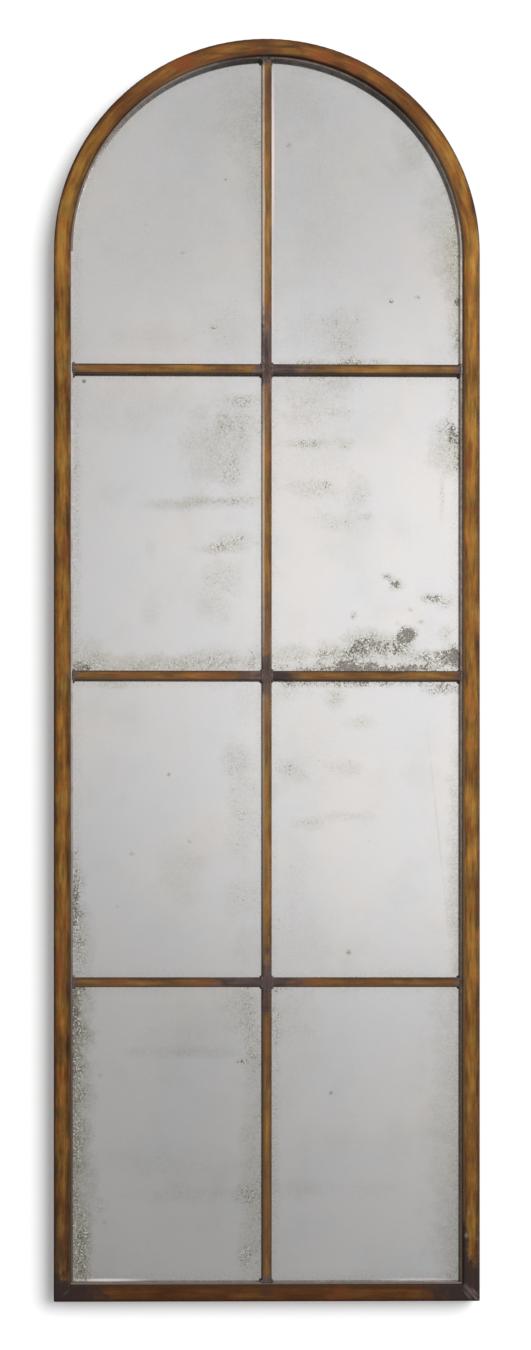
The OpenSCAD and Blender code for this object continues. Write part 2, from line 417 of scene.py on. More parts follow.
    def axes(self, vector: Socket) -> tuple[Socket, Socket, Socket]:
        """Split a vector into its three numbers.

        Args:
            vector: the vector.

        Returns:
            Its x, y and z.
        """
        made = self.node("SeparateXYZ")
        self.put(made.inputs[0], vector)
        return made.outputs[0], made.outputs[1], made.outputs[2]

    def join(self, x: Value, y: Value, z: Value) -> Socket:
        """Make a vector of three numbers."""
        made = self.node("CombineXYZ")
        return self.fill(made, {"X": x, "Y": y, "Z": z}).outputs[0]

    def use(self, effect: bpy.types.NodeTree, values: dict[str, Value]) -> bpy.types.Node:
        """Place a shared effect with a value for each input, and return its node."""
        return self.fill(self.node("Group", node_tree=effect), values)


class Effects:
    """The node groups that several finishes share, each built once."""

    def __init__(self) -> None:
        """Build every group."""
        self.patch = self.build_patch()
        self.speckle = self.build_speckle()
        self.rubbed_bronze = self.build_rubbed_bronze()
        self.tarnish = self.build_tarnish()

    @staticmethod
    def open(name: str, takes: dict[str, str], gives: dict[str, str]
             ) -> tuple[Graph, bpy.types.NodeOutputs, bpy.types.NodeInputs]:
        """Start a node group.

        Args:
            name: the group's name.
            takes: the kind of each input, by name.
            gives: the kind of each output, by name.

        Returns:
            The group's graph, what it takes and what it gives.
        """
        tree = bpy.data.node_groups.new(name, "ShaderNodeTree")
        for way, sockets in (("INPUT", takes), ("OUTPUT", gives)):
            for socket, kind in sockets.items():
                tree.interface.new_socket(socket, in_out=way, socket_type="NodeSocket" + kind)
        graph = Graph(tree)
        start = tree.nodes.new("NodeGroupInput")
        end = tree.nodes.new("NodeGroupOutput")
        return graph, start.outputs, end.inputs

    def build_patch(self) -> bpy.types.NodeTree:
        """Build the soft-edged patch: a mask that fades out from a centre.

        Returns:
            The group, which takes a place, the patch's centre, reach and turn, and a ragged
            edge.
        """
        graph, takes, gives = self.open(
            "soft_patch", {"Vector": "Vector", "Centre": "Vector", "Reach": "Vector",
                           "Turn": "Float", "Rag": "Float"}, {"Mask": "Float"})
        turned = graph.fill(graph.node("VectorRotate", rotation_type="Y_AXIS"), {
            "Vector": graph.vector("SUBTRACT", takes["Vector"], takes["Centre"]),
            "Angle": takes["Turn"]}).outputs[0]
        reach = graph.vector("LENGTH", graph.vector("DIVIDE", turned, takes["Reach"]))
        graph.put(gives["Mask"], graph.ramp(graph.total(reach, takes["Rag"]), 1.0, 0.1))
        return graph.tree

    def build_speckle(self) -> bpy.types.NodeTree:
        """Build the speckle: small ragged dots that gather where the density is high.

        Returns:
            The group, which takes a place and a density and gives a mask of the dots.
        """
        graph, takes, gives = self.open(
            "speckle", {"Vector": "Vector", "Density": "Float"}, {"Mask": "Float"})
        fine = graph.noise(takes["Vector"], 360.0, 3.0, 0.65)
        clumps = graph.noise(takes["Vector"], 120.0, 3.0, 0.6)
        grain = graph.total(graph.product(fine, 0.75), graph.product(clumps, 0.25))
        level = graph.math("MULTIPLY_ADD", takes["Density"], -0.25, 0.69)
        graph.put(gives["Mask"], graph.ramp(graph.less(grain, level), -0.04, 0.10))
        return graph.tree

    def build_rubbed_bronze(self) -> bpy.types.NodeTree:
        """Build the brushed bronze glaze: gold rubbed through brown, dark along both edges as
        patina and painted shade.

        Returns:
            The group, which takes the place along and across a tube, half the tube's face, the
            widths of the dark bands, how much darker it is and a seed, in metres where they are
            sizes.
        """
        graph, takes, gives = self.open(
            "rubbed_bronze",
            {"Along": "Float", "Across": "Float", "Depth": "Float", "Half": "Float",
             "Low Band": "Float", "High Band": "Float", "Tarnish": "Float", "Seed": "Float"},
            {"Color": "Color", "Low Edge": "Float", "High Edge": "Float", "Wear": "Float",
             "Height": "Float"})
        aside = graph.total(takes["Depth"], takes["Seed"])
        spot = graph.join(takes["Along"], takes["Across"], aside)
        drawn = graph.join(graph.product(takes["Along"], 0.3), takes["Across"], aside)
        stroke = graph.join(graph.product(takes["Along"], 0.1), takes["Across"], aside)
        broad = graph.noise(spot, 9.0, 3.0, 0.6)
        middle = graph.noise(drawn, 75.0, 4.0, 0.6)
        strokes = graph.noise(stroke, 230.0, 4.0, 0.62)
        fine = graph.noise(spot, 1300.0, 2.0, 0.5)
        worn = graph.total(graph.sway(broad, 0.52), graph.sway(middle, 0.60),
                           graph.sway(strokes, 0.62), graph.sway(fine, 0.30), 0.52)
        low_reach = graph.total(takes["Half"], takes["Across"])
        high_reach = graph.less(takes["Half"], takes["Across"])
        # Darker towards both edges of the face: partly dark patina, partly painted shade of the
        # rounded tube
        nearest = graph.math("DIVIDE", graph.least(low_reach, high_reach), takes["Half"])
        level = graph.total(worn, graph.product(takes["Tarnish"], -0.4),
                            graph.ramp(nearest, 0.8, 0.0, 0.0, -0.22))
        colour = graph.colours(level, {
            0.10: tone(44, 28, 15), 0.30: tone(76, 49, 23), 0.45: tone(104, 70, 30),
            0.58: tone(129, 89, 37), 0.70: tone(147, 103, 44), 0.90: tone(174, 128, 62)})
        ragged = graph.total(graph.sway(strokes, 0.0025), graph.sway(middle, 0.003))
        # Dark bands along both edges: partly dark patina, partly painted shade of the rounded
        # edges
        for name, band, reach in (("Low Edge", "Low Band", low_reach),
                                  ("High Edge", "High Band", high_reach)):
            share = graph.math("DIVIDE", graph.total(reach, ragged), takes[band])
            graph.put(gives[name], graph.ramp(share, 1.3, 0.4))
        graph.put(gives["Color"], colour)
        graph.put(gives["Wear"], worn)
        graph.put(gives["Height"], graph.total(graph.product(strokes, 0.6),
                                               graph.product(fine, 0.4)))
        return graph.tree

    def build_tarnish(self) -> bpy.types.NodeTree:
        """Build the mottling of bare fittings: cloudy patches with fine scratches.

        Returns:
            The group, which takes a place and gives a mottle and a height.
        """
        graph, takes, gives = self.open("tarnish", {"Vector": "Vector"},
                                        {"Mottle": "Float", "Height": "Float"})
        clouds = graph.noise(takes["Vector"], 120.0, 4.0, 0.6)
        x, y, z = graph.axes(takes["Vector"])
        drawn = graph.noise(graph.join(x, y, graph.product(z, 0.08)), 2600.0, 2.0, 0.5)
        graph.put(gives["Mottle"], graph.ramp(clouds, 0.3, 0.7))
        graph.put(gives["Height"], drawn)
        return graph.tree

    def mask(self, graph: Graph, place: Socket, rag: Value, spot: Spot) -> Socket:
        """Lay one soft patch.

        Args:
            graph: the material's graph.
            place: the place on the piece.
            rag: how ragged the patch's edge is.
            spot: the patch.

        Returns:
            Its mask.
        """
        return graph.use(self.patch, {
            "Vector": place, "Centre": (spot.x * MM, 0.0, spot.z * MM),
            "Reach": (spot.rx * MM, THROUGH, spot.rz * MM),
            "Turn": math.radians(spot.turn), "Rag": rag}).outputs["Mask"]

    def spots(self, graph: Graph, place: Socket, rag: Value, spots: tuple[Spot, ...]) -> Value:
        """Lay several soft patches and keep the strongest at each place.

        Args:
            graph: the material's graph.
            place: the place on the piece.
            rag: how ragged the patches' edges are.
            spots: the patches.

        Returns:
            A mask, or 0 where there are no patches.
        """
        masks = [graph.product(self.mask(graph, place, rag, spot), spot.strength)
                 for spot in spots]
        return graph.most(0.0, *masks)

    def decay(self, graph: Graph, place: Socket, rag: Value, foxing: tuple[Foxing, ...]
              ) -> tuple[Value, Value]:
        """Lay patches of lost silver over each other, so that they add up.

        Args:
            graph: the material's graph.
            place: the place on the piece.
            rag: how ragged the patches' edges are.
            foxing: the patches.

        Returns:
            How strong the haze is and how dense the specks are.
        """
        haze: Value = 0.0
        density: Value = 0.0
        for patch in foxing:
            mask = self.mask(graph, place, rag, patch)
            haze = graph.math("MULTIPLY_ADD", mask, patch.strength, haze)
            density = graph.math("MULTIPLY_ADD", mask, patch.specks, density)
        return haze, density


def new_material(name: str) -> tuple[bpy.types.Material, Graph]:
    """Start a material.

    Args:
        name: its name.

    Returns:
        The material and the graph of its nodes.
    """
    made = bpy.data.materials.new(name)
    made.use_nodes = True
    return made, Graph(made.node_tree)


def finish_surface(graph: Graph, values: dict[str, Value], height: Value, strength: float,
                   relief: float) -> None:
    """End a material in its Principled BSDF.

    Args:
        graph: the material's graph.
        values: what feeds the shader, by the names of its sockets.
        height: the relief of the surface, 0 to 1.
        strength: how strongly the relief shows.
        relief: the relief's real height, in metres.
    """
    shader = graph.fill(graph.node("BsdfPrincipled"), values)
    bump = graph.fill(graph.node("Bump"), {"Strength": strength, "Distance": relief,
                                           "Height": height})
    graph.put(shader.inputs["Normal"], bump.outputs[0])
    graph.put(graph.node("OutputMaterial").inputs["Surface"], shader.outputs[0])


def dress(name: str, material: bpy.types.Material) -> bpy.types.Object:
    """Give a CAD node its finish.

    Args:
        name: the node.
        material: its new material.

    Returns:
        The node's object.
    """
    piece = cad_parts[name]
    piece.data.materials.clear()
    piece.data.materials.append(material)
    return piece


@dataclass(frozen=True)
class BronzedSteel:
    """Steel tube under a brushed bronze glaze, rubbed to gold, dark along its edges as patina and
    painted shade.

    Attributes:
        name: the material's name.
        run: how the tube runs.
        half: half the tube's face.
        middle: where the middle of the face lies across the run.
        low_band: width of the dark band at the lower, left or inner edge.
        high_band: width of the dark band at the upper, right or outer edge.
        low_tone: colour of the first band.
        high_tone: colour of the second band.
        low_tone_above: colour of the first band high up, where it differs there, as a painted
            reflection of a side face in the glass.
        edging: how much of the glaze the two bands cover, 0 to 1.
        tarnish: how much darker than the upper left stile the piece is, 0 to 1.
        cast: a duller brown that lies over the glaze.
        cast_share: how much of it shows, 0 to 1.
        seed: a number that sets its pattern apart from the others'.
        heat: where welding has tinted it.
        red: where the glaze is worn to red-brown.
        soot: where it is nearly black.
        pale: where the glaze is chipped or smeared to grey.
        bare_edge: where the first band is painted pale, a painted highlight where the inner side
            catches the light.
        hue_swing: how far red, green and blue drift with the mottling of the glaze.
        red_tone: colour of the worn, red-brown glaze.
        bare_tone: colour of that painted highlight.
        heat_low: colour of heat-tinted steel in its hollows.
        heat_high: colour of heat-tinted steel where it is rubbed.
        soot_tone: colour of the soot.
        pale_tone: colour of chips and smears.
        back_tone: colour of the painted shade on the sides, deepening towards the wall.
    """

    name: str
    run: Run
    half: float
    middle: float = 0.0
    low_band: float = 0.003
    high_band: float = 0.003
    low_tone: Colour = tone(58, 42, 32)
    high_tone: Colour = tone(66, 46, 32)
    low_tone_above: Colour | None = None
    edging: float = 0.75
    tarnish: float = 0.0
    cast: Colour = tone(112, 88, 64)
    cast_share: float = 0.0
    seed: float = 0.0
    heat: tuple[Spot, ...] = ()
    red: tuple[Spot, ...] = ()
    soot: tuple[Spot, ...] = ()
    pale: tuple[Spot, ...] = ()
    bare_edge: tuple[Spot, ...] = ()
    hue_swing: Place = (0.30, -0.75, -1.0)
    red_tone: Colour = tone(112, 61, 31)
    bare_tone: Colour = tone(158, 126, 96)
    heat_low: Colour = tone(56, 47, 47)
    heat_high: Colour = tone(94, 80, 77)
    soot_tone: Colour = tone(44, 35, 34)
    pale_tone: Colour = tone(128, 114, 108)
    back_tone: Colour = tone(74, 52, 36)

    def run_places(self, graph: Graph, layout: Layout, place: Socket) -> tuple[Socket, Socket]:
        """Work out how far along and across its run a place lies.

        Args:
            graph: the material's graph.
            layout: sizes of the mirror.
            place: the place on the piece.

        Returns:
            The way along the run and the way across it, in metres.
        """
        x, _, z = graph.axes(place)
        if self.run is Run.LEVEL:
            return x, graph.less(z, self.middle)
        if self.run is Run.UPRIGHT:
            return z, graph.less(x, self.middle)
        above = graph.most(graph.less(z, layout.spring_z), 0.0)
        below = graph.most(graph.less(layout.spring_z, z), 0.0)
        radius = graph.vector("LENGTH", graph.join(x, 0.0, above))
        bend = graph.product(graph.math("ARCTAN2", above, x), self.middle)
        straight = graph.product(graph.math("SIGN", x), below)
        return graph.less(bend, straight), graph.less(radius, self.middle)

    def tarnish_over(self, graph: Graph, layout: Layout, place: Socket
                     ) -> tuple[Socket, Value]:
        """Find how much darker the glaze is: more towards the bottom and at the crown of the hoop,
        less on the right stile and where the arch springs.

        Args:
            graph: the material's graph.
            layout: sizes of the mirror.
            place: the place on the piece.

        Returns:
            How much darker and how much redder the glaze is.
        """
        x, _, z = graph.axes(place)
        darker = graph.total(graph.ramp(z, 0.75, 0.15, 0.0, 0.24), self.tarnish)
        if self.run is not Run.HOOP:
            return darker, 0.0
        crown = graph.ramp(z, layout.spring_z + 0.10, layout.spring_z + 0.24)
        right = graph.ramp(x, layout.stop_in_r - 0.05, layout.stop_in_r, 0.0, -0.17)
        foot = graph.product(graph.ramp(z, layout.spring_z - 0.15, layout.spring_z, 0.0, -0.15),
                             graph.less(1.0, crown))
        darker = graph.total(darker, graph.product(crown, 0.18), graph.least(right, foot))
        return darker, graph.product(crown, 0.28)

    def mottle(self, graph: Graph, place: Socket, reds: Value, colour: Socket) -> Socket:
        """Let the glaze drift between red-brown and olive.

        Args:
            graph: the material's graph.
            place: the place on the piece.
            reds: where the glaze is worn to red-brown.
            colour: the plain glaze.

        Returns:
            The mottled glaze.
        """
        wide = graph.ramp(graph.noise(place, 14.0, 4.0, 0.6), 0.58, 0.72, 0.0, 0.5)
        colour = graph.mix(graph.most(reds, wide), colour, self.red_tone)
        hue = graph.sway(graph.noise(place, 42.0, 4.0, 0.68), 1.0)
        colour = graph.vector("MULTIPLY", colour, graph.join(
            *(graph.math("MULTIPLY_ADD", hue, swing, 1.0) for swing in self.hue_swing)))
        return graph.mix(self.cast_share, colour, self.cast)

    def band_edges(self, graph: Graph, effects: Effects, place: Socket,
                   glaze: bpy.types.NodeOutputs, colour: Socket) -> Socket:
        """Lay the dark bands along both edges of the tube's face, partly patina and partly painted
        shade.

        Args:
            graph: the material's graph.
            effects: the shared node groups.
            place: the place on the piece.
            glaze: what the rubbed bronze puts out.
            colour: the glaze.

        Returns:
            The glaze with its bands.
        """
        low_tone: Value = self.low_tone
        # High up the first band may take a pale colour, a painted reflection of the side face seen
        # in the glass
        if self.low_tone_above:
            height = graph.axes(place)[2]
            low_tone = graph.mix(graph.ramp(height, 0.35, 1.25), self.low_tone,
                                 self.low_tone_above)
        # Painted highlight: the first band turns pale where the inner side catches the light
        low_tone = graph.mix(effects.spots(graph, place, 0.0, self.bare_edge), low_tone,
                             self.bare_tone)
        colour = graph.mix(graph.product(glaze["Low Edge"], self.edging), colour, low_tone)
        return graph.mix(graph.product(glaze["High Edge"], self.edging), colour,
                         self.high_tone)

    def material(self, layout: Layout, effects: Effects) -> bpy.types.Material:
        """Build the material.

        Args:
            layout: sizes of the mirror.
            effects: the shared node groups.

        Returns:
            The material.
        """
        made, graph = new_material(self.name)
        place = graph.place()
        depth = graph.axes(place)[1]
        along, across = self.run_places(graph, layout, place)
        darker, redder = self.tarnish_over(graph, layout, place)
        glaze = graph.use(effects.rubbed_bronze, {
            "Along": along, "Across": across, "Depth": depth, "Half": self.half,
            "Low Band": self.low_band, "High Band": self.high_band, "Tarnish": darker,
            "Seed": self.seed}).outputs
        rag = graph.sway(graph.noise(place, 70.0, 4.0, 0.65), 1.3)
        reds = graph.most(effects.spots(graph, place, rag, self.red), redder)
        colour = self.mottle(graph, place, reds, glaze["Color"])
        colour = self.band_edges(graph, effects, place, glaze, colour)
        heat = effects.spots(graph, place, rag, self.heat)
        tinted = graph.mix(graph.ramp(glaze["Wear"], 0.35, 0.7), self.heat_low, self.heat_high)
        colour = graph.mix(graph.product(heat, 0.94), colour, tinted)
        soot = graph.ramp(effects.spots(graph, place, rag, self.soot), 0.0, 0.8, 0.0, 0.96)
        colour = graph.mix(soot, colour, self.soot_tone)
        pale = effects.spots(graph, place, rag, self.pale)
        colour = graph.mix(pale, colour, self.pale_tone)
        # Painted shade: the sides darken towards the wall
        behind = graph.ramp(depth, layout.front_y + 0.003, layout.back_y, 0.0, 0.55)
        colour = graph.mix(behind, colour, self.back_tone)
        finish_surface(
            graph,
            {"Base Color": colour, "Metallic": 0.35, "Specular IOR Level": 0.12,
             "Roughness": graph.ramp(glaze["Wear"], 0.2, 0.9, 0.54, 0.38)},
            glaze["Height"], 0.35, 0.0004)
        return made


@dataclass(frozen=True)
class WeldMetal:
    """Weld metal, tinted by its heat and rubbed bright on its ripples.

    Attributes:
        name: the material's name.
        dark: colour in the hollows.
        mottled: colour of the hollows where they are browner.
        light: colour on the ripples.
    """

    name: str = "weld_metal"
    dark: Colour = tone(58, 50, 49)
    mottled: Colour = tone(76, 63, 56)
    light: Colour = tone(98, 85, 80)

    def material(self, effects: Effects) -> bpy.types.Material:
        """Build the material.

        Args:
            effects: the shared node groups.

        Returns:
            The material.
        """
        made, graph = new_material(self.name)
        place = graph.place()
        mottle = graph.use(effects.tarnish, {"Vector": place}).outputs
        rubbed = graph.ramp(graph.noise(place, 260.0, 3.0, 0.6), 0.42, 0.66)
        hollows = graph.mix(mottle["Mottle"], self.dark, self.mottled)
        finish_surface(
            graph,
            {"Base Color": graph.mix(rubbed, hollows, self.light), "Metallic": 0.35,
             "Specular IOR Level": 0.2, "Roughness": graph.ramp(rubbed, 0.0, 1.0, 0.62, 0.48)},
            graph.noise(place, 900.0, 3.0, 0.6), 0.4, 0.0004)
        return made


@dataclass(frozen=True)
class StopStrip:
    """The strip that lines the frame: lighter on its front edge as a painted highlight, darker
    inside as painted shade, and darker low down.

    Attributes:
        name: the material's name.
        face: colour of the front edge high up, lighter as a painted highlight.
        inside: colour of the side that the glass reflects, high up, darker as painted shade.
        face_below: colour of the front edge near the bottom.
        inside_below: colour of the inner side near the bottom.
        dim: where the strip is dark.
        pale: where the strip is painted nearly white, as painted highlights.
        dim_tone: its colour where it is dark.
        pale_tone: its colour where it is painted nearly white as a highlight.
        grime: colour of the mottling all over it.
    """

    name: str
    face: Colour
    inside: Colour
    face_below: Colour
    inside_below: Colour
    dim: tuple[Spot, ...] = ()
    pale: tuple[Spot, ...] = ()
    dim_tone: Colour = tone(62, 54, 49)
    pale_tone: Colour = tone(222, 214, 206)
    grime: Colour = tone(70, 58, 50)

    def material(self, layout: Layout, effects: Effects) -> bpy.types.Material:
        """Build the material.

        Args:
            layout: sizes of the mirror.
            effects: the shared node groups.

        Returns:
            The material.
        """
        made, graph = new_material(self.name)
        place = graph.place()
        _, y, z = graph.axes(place)
        mottle = graph.use(effects.tarnish, {"Vector": place}).outputs
        high = graph.ramp(z, 0.25, 1.15)
        # Painted light: the front edge takes the lighter colour as a painted highlight, the inner
        # side the darker one as painted shade
        front = graph.ramp(y, layout.bar_front_y + 0.0012, layout.bar_front_y + 0.0002)
        patchy = graph.ramp(graph.noise(place, 60.0, 4.0, 0.65), 0.32, 0.58, 0.55, 1.0)
        face = graph.mix(high, self.face_below, self.face)
        inside = graph.mix(high, self.inside_below, self.inside)
        colour = graph.mix(graph.product(front, patchy), inside, face)
        rag = graph.sway(graph.noise(place, 70.0, 4.0, 0.65), 1.0)
        # The dim spots darken the strip; the pale spots are painted highlights
        for spots, spot_tone in ((self.dim, self.dim_tone), (self.pale, self.pale_tone)):
            colour = graph.mix(effects.spots(graph, place, rag, spots), colour, spot_tone)
        finish_surface(
            graph,
            {"Base Color": graph.mix(graph.product(mottle["Mottle"], 0.25), colour, self.grime),
             "Metallic": 0.3, "Specular IOR Level": 0.2,
             "Roughness": graph.ramp(mottle["Mottle"], 0.0, 1.0, 0.42, 0.58)},
            mottle["Height"], 0.2, 0.0003)
        return made


@dataclass(frozen=True)
class AntiqueMirror:
    """A mirror pane whose silver has clouded and gone in specks.

    Attributes:
        node: the pane's CAD node.
        foxing: where its silver has gone.
        shade: how grey the whole pane is, 0 to 1.
        rim: how far the clouding along its edges reaches; it is partly real edge foxing and partly
            painted shade, where the frame's dark sides show in the glass.
        seal: where thin pale lines are painted on the glass, painted highlights.
        silver: colour of the sound silver.
        cool: colour of sound silver where it is bluer.
        haze: colour where it has clouded.
        thin: colour of lone specks, where it has thinned, and of the densest patches.
        bare: colour of dense specks, where it has gone.
        fleck: colour of the flakes that stay pale between dense specks.
        sealant: colour of those painted highlight lines.
    """

    node: str
    foxing: tuple[Foxing, ...]
    shade: float = 0.0
    rim: float = 0.012
    seal: tuple[Spot, ...] = ()
    silver: Colour = (0.82, 0.80, 0.795, 1.0)
    cool: Colour = (0.79, 0.79, 0.81, 1.0)
    haze: Colour = (0.35, 0.34, 0.235, 1.0)
    thin: Colour = tone(142, 134, 126)
    bare: Colour = tone(104, 98, 95)
    fleck: Colour = (0.97, 0.94, 0.90, 1.0)
    sealant: Colour = tone(232, 216, 214)

    def rim_mask(self, graph: Graph, layout: Layout, place: Socket, rag: Socket) -> Socket:
        """Find how near a place lies to the pane's edges.

        Args:
            graph: the material's graph.
            layout: sizes of the mirror.
            place: the place on the piece.
            rag: how ragged the rim is.

        Returns:
            A mask that is 1 at the edges.
        """
        low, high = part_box(self.node)
        x, _, z = graph.axes(place)
        ways = [graph.less(x, low.x), graph.less(high.x, x),
                graph.less(z, low.z), graph.less(high.z, z)]
        if self.node.startswith("arch"):
            above = graph.most(graph.less(z, layout.spring_z), 0.0)
            radius = graph.vector("LENGTH", graph.join(x, 0.0, above))
            ways.append(graph.less(layout.stop_in_r + self.rim / 4, radius))
        return graph.ramp(graph.total(graph.least(*ways), graph.product(rag, self.rim)),
                          self.rim * 1.9, self.rim * 0.4)

    def clouding(self, graph: Graph, place: Socket, haze: Value, density: Value,
                 rim: Socket) -> Socket:
        """Find how clouded the silver is.

        Args:
            graph: the material's graph.
            place: the place on the piece.
            haze: how strong the haze of the foxing is.
            density: how dense its specks are.
            rim: how near the edges are.

        Returns:
            The clouding, about 0 where the silver is sound and 1 where it is all grey.
        """
        grain = graph.noise(place, 300.0, 3.0, 0.7)
        clouds = graph.noise(place, 11.0, 5.0, 0.6)
        powder = graph.ramp(grain, 0.36, 0.64, 0.2, 1.1)
        # The rim's clouding is partly real edge foxing and partly painted shade of the frame's
        # dark sides reflected near the edges
        return graph.total(graph.product(haze, graph.ramp(grain, 0.34, 0.66, 0.55, 1.0)),
                           graph.product(density, powder, 0.34),
                           graph.product(rim, powder, 0.16),
                           graph.ramp(clouds, 0.45, 0.8, 0.0, 0.13),
                           graph.sway(grain, 0.13), self.shade)

    def material(self, layout: Layout, effects: Effects) -> bpy.types.Material:
        """Build the material.

        Args:
            layout: sizes of the mirror.
            effects: the shared node groups.

        Returns:
            The material.
        """
        made, graph = new_material("antique_" + self.node)
        place = graph.place()
        rag = graph.sway(graph.noise(place, 34.0, 6.0, 0.68), 1.5)
        rim = self.rim_mask(graph, layout, place, rag)
        haze, density = effects.decay(graph, place, rag, self.foxing)
        cloudy = self.clouding(graph, place, haze, density, rim)
        gathered = graph.total(density, graph.product(rim, 0.22))
        specks = graph.use(effects.speckle, {
            "Vector": place, "Density": gathered}).outputs["Mask"]
        silver = graph.mix(graph.ramp(graph.noise(place, 6.0, 3.0, 0.6), 0.38, 0.62),
                           self.silver, self.cool)
        colour = graph.mix(graph.math("ADD", cloudy, 0.0, clamp=True), silver, self.haze)
        # Painted highlight: thin pale lines on the glass, not metallic there so that the lamps
        # light them white
        seal = effects.spots(graph, place, 0.0, self.seal)
        colour = graph.mix(seal, colour, self.sealant)
        gone = graph.product(graph.ramp(gathered, 0.35, 0.95),
                             graph.ramp(gathered, 1.25, 0.9, 0.35, 1.0))
        colour = graph.mix(specks, colour, graph.mix(gone, self.thin, self.bare))
        flecks = graph.product(graph.ramp(graph.noise(place, 430.0, 2.0, 0.6), 0.56, 0.64),
                               graph.ramp(gathered, 0.12, 0.8, 0.0, 0.85),
                               graph.ramp(gathered, 1.3, 0.8, 0.25, 1.0))
        colour = graph.mix(flecks, colour, self.fleck)
        finish_surface(
            graph,
            {"Base Color": colour,
             "Metallic": graph.product(graph.ramp(specks, 0.0, 1.0, 1.0, 0.75),
                                       graph.less(1.0, seal),
                                       graph.math("MULTIPLY_ADD", flecks, -0.25, 1.0)),
             "Specular IOR Level": 0.1,
             "Roughness": graph.math("ADD", graph.ramp(cloudy, 0.0, 0.8, 0.10, 0.125),
                                     graph.product(specks, 0.03), clamp=True),
             "Coat Weight": 0.8, "Coat Roughness": 0.04},
            graph.noise(place, 25.0, 2.0, 0.5), 0.04, 0.0006)
        return made


@dataclass(frozen=True)
class Fibreboard:
    """Bare hard fibreboard, with flecks of fibre pressed into it.

    Attributes:
        name: the material's name.
        fleck: colour of the flecks.
    """

    name: str = "fibreboard"
    fleck: Colour = tone(88, 62, 42)

    def material(self) -> bpy.types.Material:
        """Build the material.

        Returns:
            The material.
        """
        made, graph = new_material(self.name)
        place = graph.place()
        x, y, z = graph.axes(place)
        fibres = graph.noise(graph.join(graph.product(x, 0.35), y, z), 520.0, 4.0, 0.7)
        flecks = graph.ramp(graph.noise(graph.join(x, y, graph.product(z, 0.3)), 760.0, 3.0),
                            0.60, 0.72)
        clouds = graph.noise(place, 9.0, 4.0, 0.6)
        level = graph.total(graph.sway(fibres, 0.9), graph.sway(clouds, 0.7), 0.5)
        colour = graph.colours(level, {0.15: tone(104, 78, 54), 0.45: tone(138, 106, 74),
                                       0.65: tone(156, 122, 88), 0.9: tone(176, 144, 106)})
        finish_surface(graph, {"Base Color": graph.mix(flecks, colour, self.fleck),
                               "Roughness": graph.ramp(fibres, 0.3, 0.7, 0.72, 0.88)},
                       fibres, 0.35, 0.0004)
        return made


@dataclass(frozen=True)
class ZincPlate:
    """Bright zinc plate on small fittings, a little clouded.

    Attributes:
        name: the material's name.
    """

    name: str = "zinc_plate"

    def material(self, effects: Effects) -> bpy.types.Material:
        """Build the material.

        Args:
            effects: the shared node groups.

        Returns:
            The material.
        """
        made, graph = new_material(self.name)
        place = graph.place()
        mottle = graph.use(effects.tarnish, {"Vector": place}).outputs
        spangle = graph.noise(place, 420.0, 2.0, 0.6)
        level = graph.total(graph.product(mottle["Mottle"], 0.6), graph.product(spangle, 0.4))
        finish_surface(
            graph,
            {"Base Color": graph.colours(level, {0.1: tone(146, 148, 148),
                                                 0.5: tone(184, 186, 186),
                                                 0.9: tone(206, 205, 196)}),
             "Metallic": 0.9, "Roughness": graph.ramp(mottle["Mottle"], 0.0, 1.0, 0.26, 0.42)},
            mottle["Height"], 0.12, 0.0002)
        return made


@dataclass(frozen=True)
class BumperRubber:
    """Matt black moulded rubber, dusty on its face.

    Attributes:
        name: the material's name.
        black: colour of the rubber.
        dusty: colour where dust lies on it.
    """

    name: str = "bumper_rubber"
    black: Colour = tone(34, 34, 36)
    dusty: Colour = tone(74, 72, 70)

    def material(self) -> bpy.types.Material:
        """Build the material.

        Returns:
            The material.
        """
        made, graph = new_material(self.name)
        place = graph.place()
        dust = graph.ramp(graph.noise(place, 180.0, 4.0, 0.6), 0.45, 0.75, 0.0, 0.5)
        grain = graph.noise(place, 1600.0, 2.0, 0.5)
        finish_surface(graph, {"Base Color": graph.mix(dust, self.black, self.dusty),
                               "Roughness": graph.ramp(grain, 0.3, 0.7, 0.62, 0.8)},
                       grain, 0.3, 0.0003)
        return made


# Where heat, wear and soot show on the frame and the grille, and where painted highlights lie
# along its inner edge
FRAME_RED = (
    Spot(300, 1250, 10, 34, 0.8), Spot(-308, 500, 12, 60, 0.6), Spot(82, 1850, 30, 26, 0.9),
    Spot(-122, 1840, 44, 26, 0.9), Spot(132, 1836, 22, 20, 0.8), Spot(-300, 1120, 9, 40, 0.5),
    Spot(306, 880, 9, 46, 0.5))
FRAME_SOOT = (
    Spot(-308, 0, 60, 76, 0.95), Spot(310, -4, 60, 118), Spot(0, 1866, 30, 20, 0.35),
    Spot(293, 60, 13, 100, 0.8), Spot(-306, 70, 30, 90, 0.4), Spot(40, 1868, 60, 5, 0.4),
    Spot(-60, 1856, 50, 4, 0.4), Spot(306, 1043, 16, 160, 0.2))
SILL_SOOT = (Spot(-308, 12, 98, 60, 0.95), Spot(310, 12, 104, 60), Spot(0, 14, 22, 20, 0.4))
MITRE_SOOT = (Spot(-304, 12, 60, 50, 0.9), Spot(304, 12, 60, 50))
CORNER_SMEARS = (Spot(303, 15, 20, 6.0, 0.34, turn=-48), Spot(302, 17, 17, 2.2, 0.4, turn=-47),
                 Spot(309, 15, 13, 3.0, 0.4, turn=-44), Spot(299, 9, 13, 2.6, 0.3, turn=-50),
                 Spot(311, 5, 12, 3.0, 0.45, turn=-46), Spot(-299, 14, 11, 1.8, 0.2, turn=46),
                 Spot(297, 98, 3.6, 5.4, 0.6), Spot(301, 132, 2.6, 6.0, 0.45))
